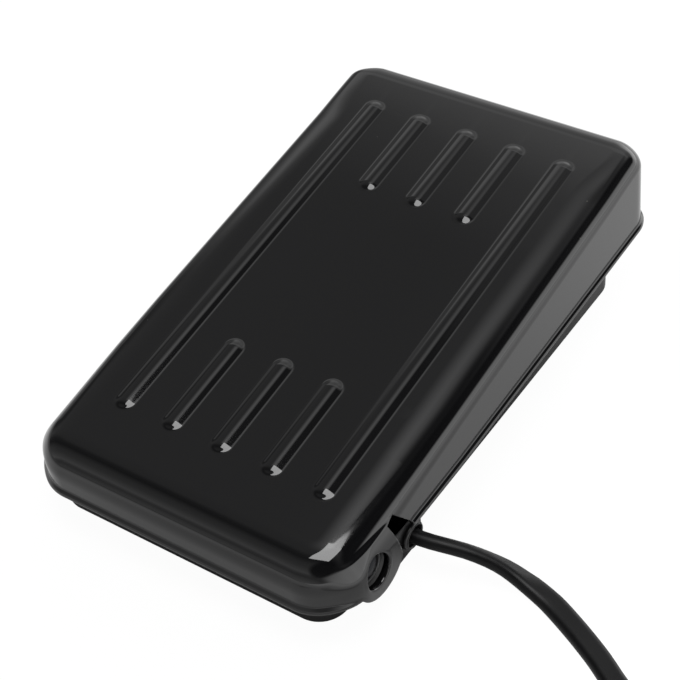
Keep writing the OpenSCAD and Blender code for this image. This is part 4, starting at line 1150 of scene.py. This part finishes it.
class PEDAL_OT_screws(bpy.types.Operator):
    """Slotted screws of the feet, the block, the clamp and the terminals"""
    bl_idname = "pedal.screws"
    bl_label = "Screws"

    def execute(self, context):
        upwards = Matrix()
        downwards = Matrix.Rotation(math.pi, 4, "X")
        forwards = Matrix.Rotation(QUARTER, 4, "X")
        # Node, finish, facing, head radius and height
        for name, slot, facing, head_r, head_h in (
                ("foot_screws", "steel", downwards, 3.0, 1.0),
                ("block_screws", "steel", upwards, 2.9, 1.8),
                ("clamp_screws", "steel", upwards, 2.4, 1.6),
                ("terminal_screws", "brass", forwards, 2.6, 1.8)):
            low, high = box_mm(name)
            middle = (low + high) / 2
            size = high - low
            sides = (low.x + head_r, high.x - head_r)
            ends = (low.y + head_r, high.y - head_r)
            shank = (size.y if facing is forwards else size.z) - head_h
            if facing is downwards:
                places = [(x, y, low.z + head_h) for x in sides for y in ends]
            elif facing is forwards:
                places = [(x, low.y + head_h, middle.z) for x in sides]
            else:
                places = [(middle.x, y, high.z - head_h) for y in ends]
            bm = bmesh.new()
            for i, place in enumerate(places):
                # Each slot stands at an angle of its own
                turned = Matrix.Rotation(math.radians(37 + 61 * i), 4, "Z")
                join(bm, self.screw(head_r, head_h, shank), Matrix.Translation(place) @ facing @ turned)
            piece = place_piece(bm, "slotted_" + name, slot, "base", [name])
            soften(piece, 0.12)
            weighted_normals(piece)
        return {"FINISHED"}

    def screw(self, head_r, head_h, shank):
        """A screw, its seat at z = 0: two half heads on a disc leave the slot open, the shank hangs below."""
        shank_r = 1.5
        slot = head_r * 0.22
        floor_z = head_h * 0.45
        bm = round_solid([
            (0, -shank), (shank_r - 0.3, -shank), (shank_r, 0.4 - shank), (shank_r, 0), (head_r, 0),
            (head_r, floor_z), (0, floor_z)], 32)
        for side in (-1, 1):
            half = round_solid([
                (0, floor_z), (head_r, floor_z), (head_r, head_h * 0.75), (head_r * 0.8, head_h * 0.95),
                (0, head_h)], 32)
            whole = half.verts[:] + half.edges[:] + half.faces[:]
            made = bmesh.ops.bisect_plane(
                half, geom=whole, dist=WELD, plane_co=(side * slot, 0, 0), plane_no=(side, 0, 0),
                clear_inner=True)
            bmesh.ops.holes_fill(half, edges=only(made["geom_cut"], bmesh.types.BMEdge))
            join(bm, half)
        return bm


class PEDAL_OT_wires(bpy.types.Operator):
    """Two leads from the cord's end to the terminals"""
    bl_idname = "pedal.wires"
    bl_label = "Inner wires"

    def execute(self, context):
        start = exit_place()
        block_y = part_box("rheostat_block")[0].y / MM - 1.21
        way = block_y - start.y
        wire_r = 1.1
        spacing = 1.2
        section = arc((0, 0), wire_r, 0, 330, 12)
        bm = bmesh.new()
        # Places: x from the exit, share of the way to the block, height
        for route in (
                ((-19.1, 0.04, 5.7), (-21.5, 0.05, 5.7), (-23.5, 0.14, 6.2), (-23.8, 0.34, 8),
                 (-23.6, 0.6, 11.5), (-23.5, 0.8, 14.4), (-23.5, 1, 15)),
                ((-19.1, -0.04, 5.7), (-21.5, -0.05, 5.7), (-29, -0.15, 5.8), (-43, -0.15, 6), (-53, 0.05, 7),
                 (-58, 0.4, 10), (-58.5, 0.8, 14.4), (-58.5, 1, 15))):
            points = smooth_run([(start.x + x, start.y + part * way, z) for x, part, z in route], spacing)
            join(bm, tube("lead", points, section))
        place_piece(bm, "inner_leads", "cord_pvc", "base", ["inner_wires"])
        return {"FINISHED"}


class PEDAL_PT_panel(bpy.types.Panel):
    """Lists the pedal's pieces and its sizes"""
    bl_idname = "PEDAL_PT_panel"
    bl_label = "Foot Pedal"
    bl_space_type = "VIEW_3D"
    bl_region_type = "UI"
    bl_category = "Foot Pedal"

    def draw(self, context):
        for step in STEPS:
            self.layout.operator(step.bl_idname)
        for group in (context.scene.pedal_cover, context.scene.pedal_cord, context.scene.pedal_colours):
            box = self.layout.box()
            for key in group.bl_rna.properties.keys():
                if key not in ("rna_type", "name"):
                    box.prop(group, key)


STEPS = (
    PEDAL_OT_stage, PEDAL_OT_finishes, PEDAL_OT_plug, PEDAL_OT_cord, PEDAL_OT_cover, PEDAL_OT_tray,
    PEDAL_OT_hinge, PEDAL_OT_spring, PEDAL_OT_screws, PEDAL_OT_wires)
GROUPS = (("pedal_cover", PedalCoverSizes), ("pedal_cord", PedalCordSizes), ("pedal_colours", PedalColours))


def register():
    for name, group in GROUPS:
        bpy.utils.register_class(group)
        setattr(bpy.types.Scene, name, bpy.props.PointerProperty(type=group))
    for step in STEPS:
        bpy.utils.register_class(step)
    bpy.utils.register_class(PEDAL_PT_panel)


def unregister():
    bpy.utils.unregister_class(PEDAL_PT_panel)
    for step in reversed(STEPS):
        bpy.utils.unregister_class(step)
    for name, group in reversed(GROUPS):
        delattr(bpy.types.Scene, name)
        bpy.utils.unregister_class(group)


def main():
    register()
    bpy.ops.pedal.stage()
    bpy.ops.pedal.finishes()
    bpy.ops.pedal.plug()
    bpy.ops.pedal.cord()
    bpy.ops.pedal.cover()
    bpy.ops.pedal.tray()
    bpy.ops.pedal.hinge()
    bpy.ops.pedal.spring()
    bpy.ops.pedal.screws()
    bpy.ops.pedal.wires()


if __name__ == "__main__":
    main()
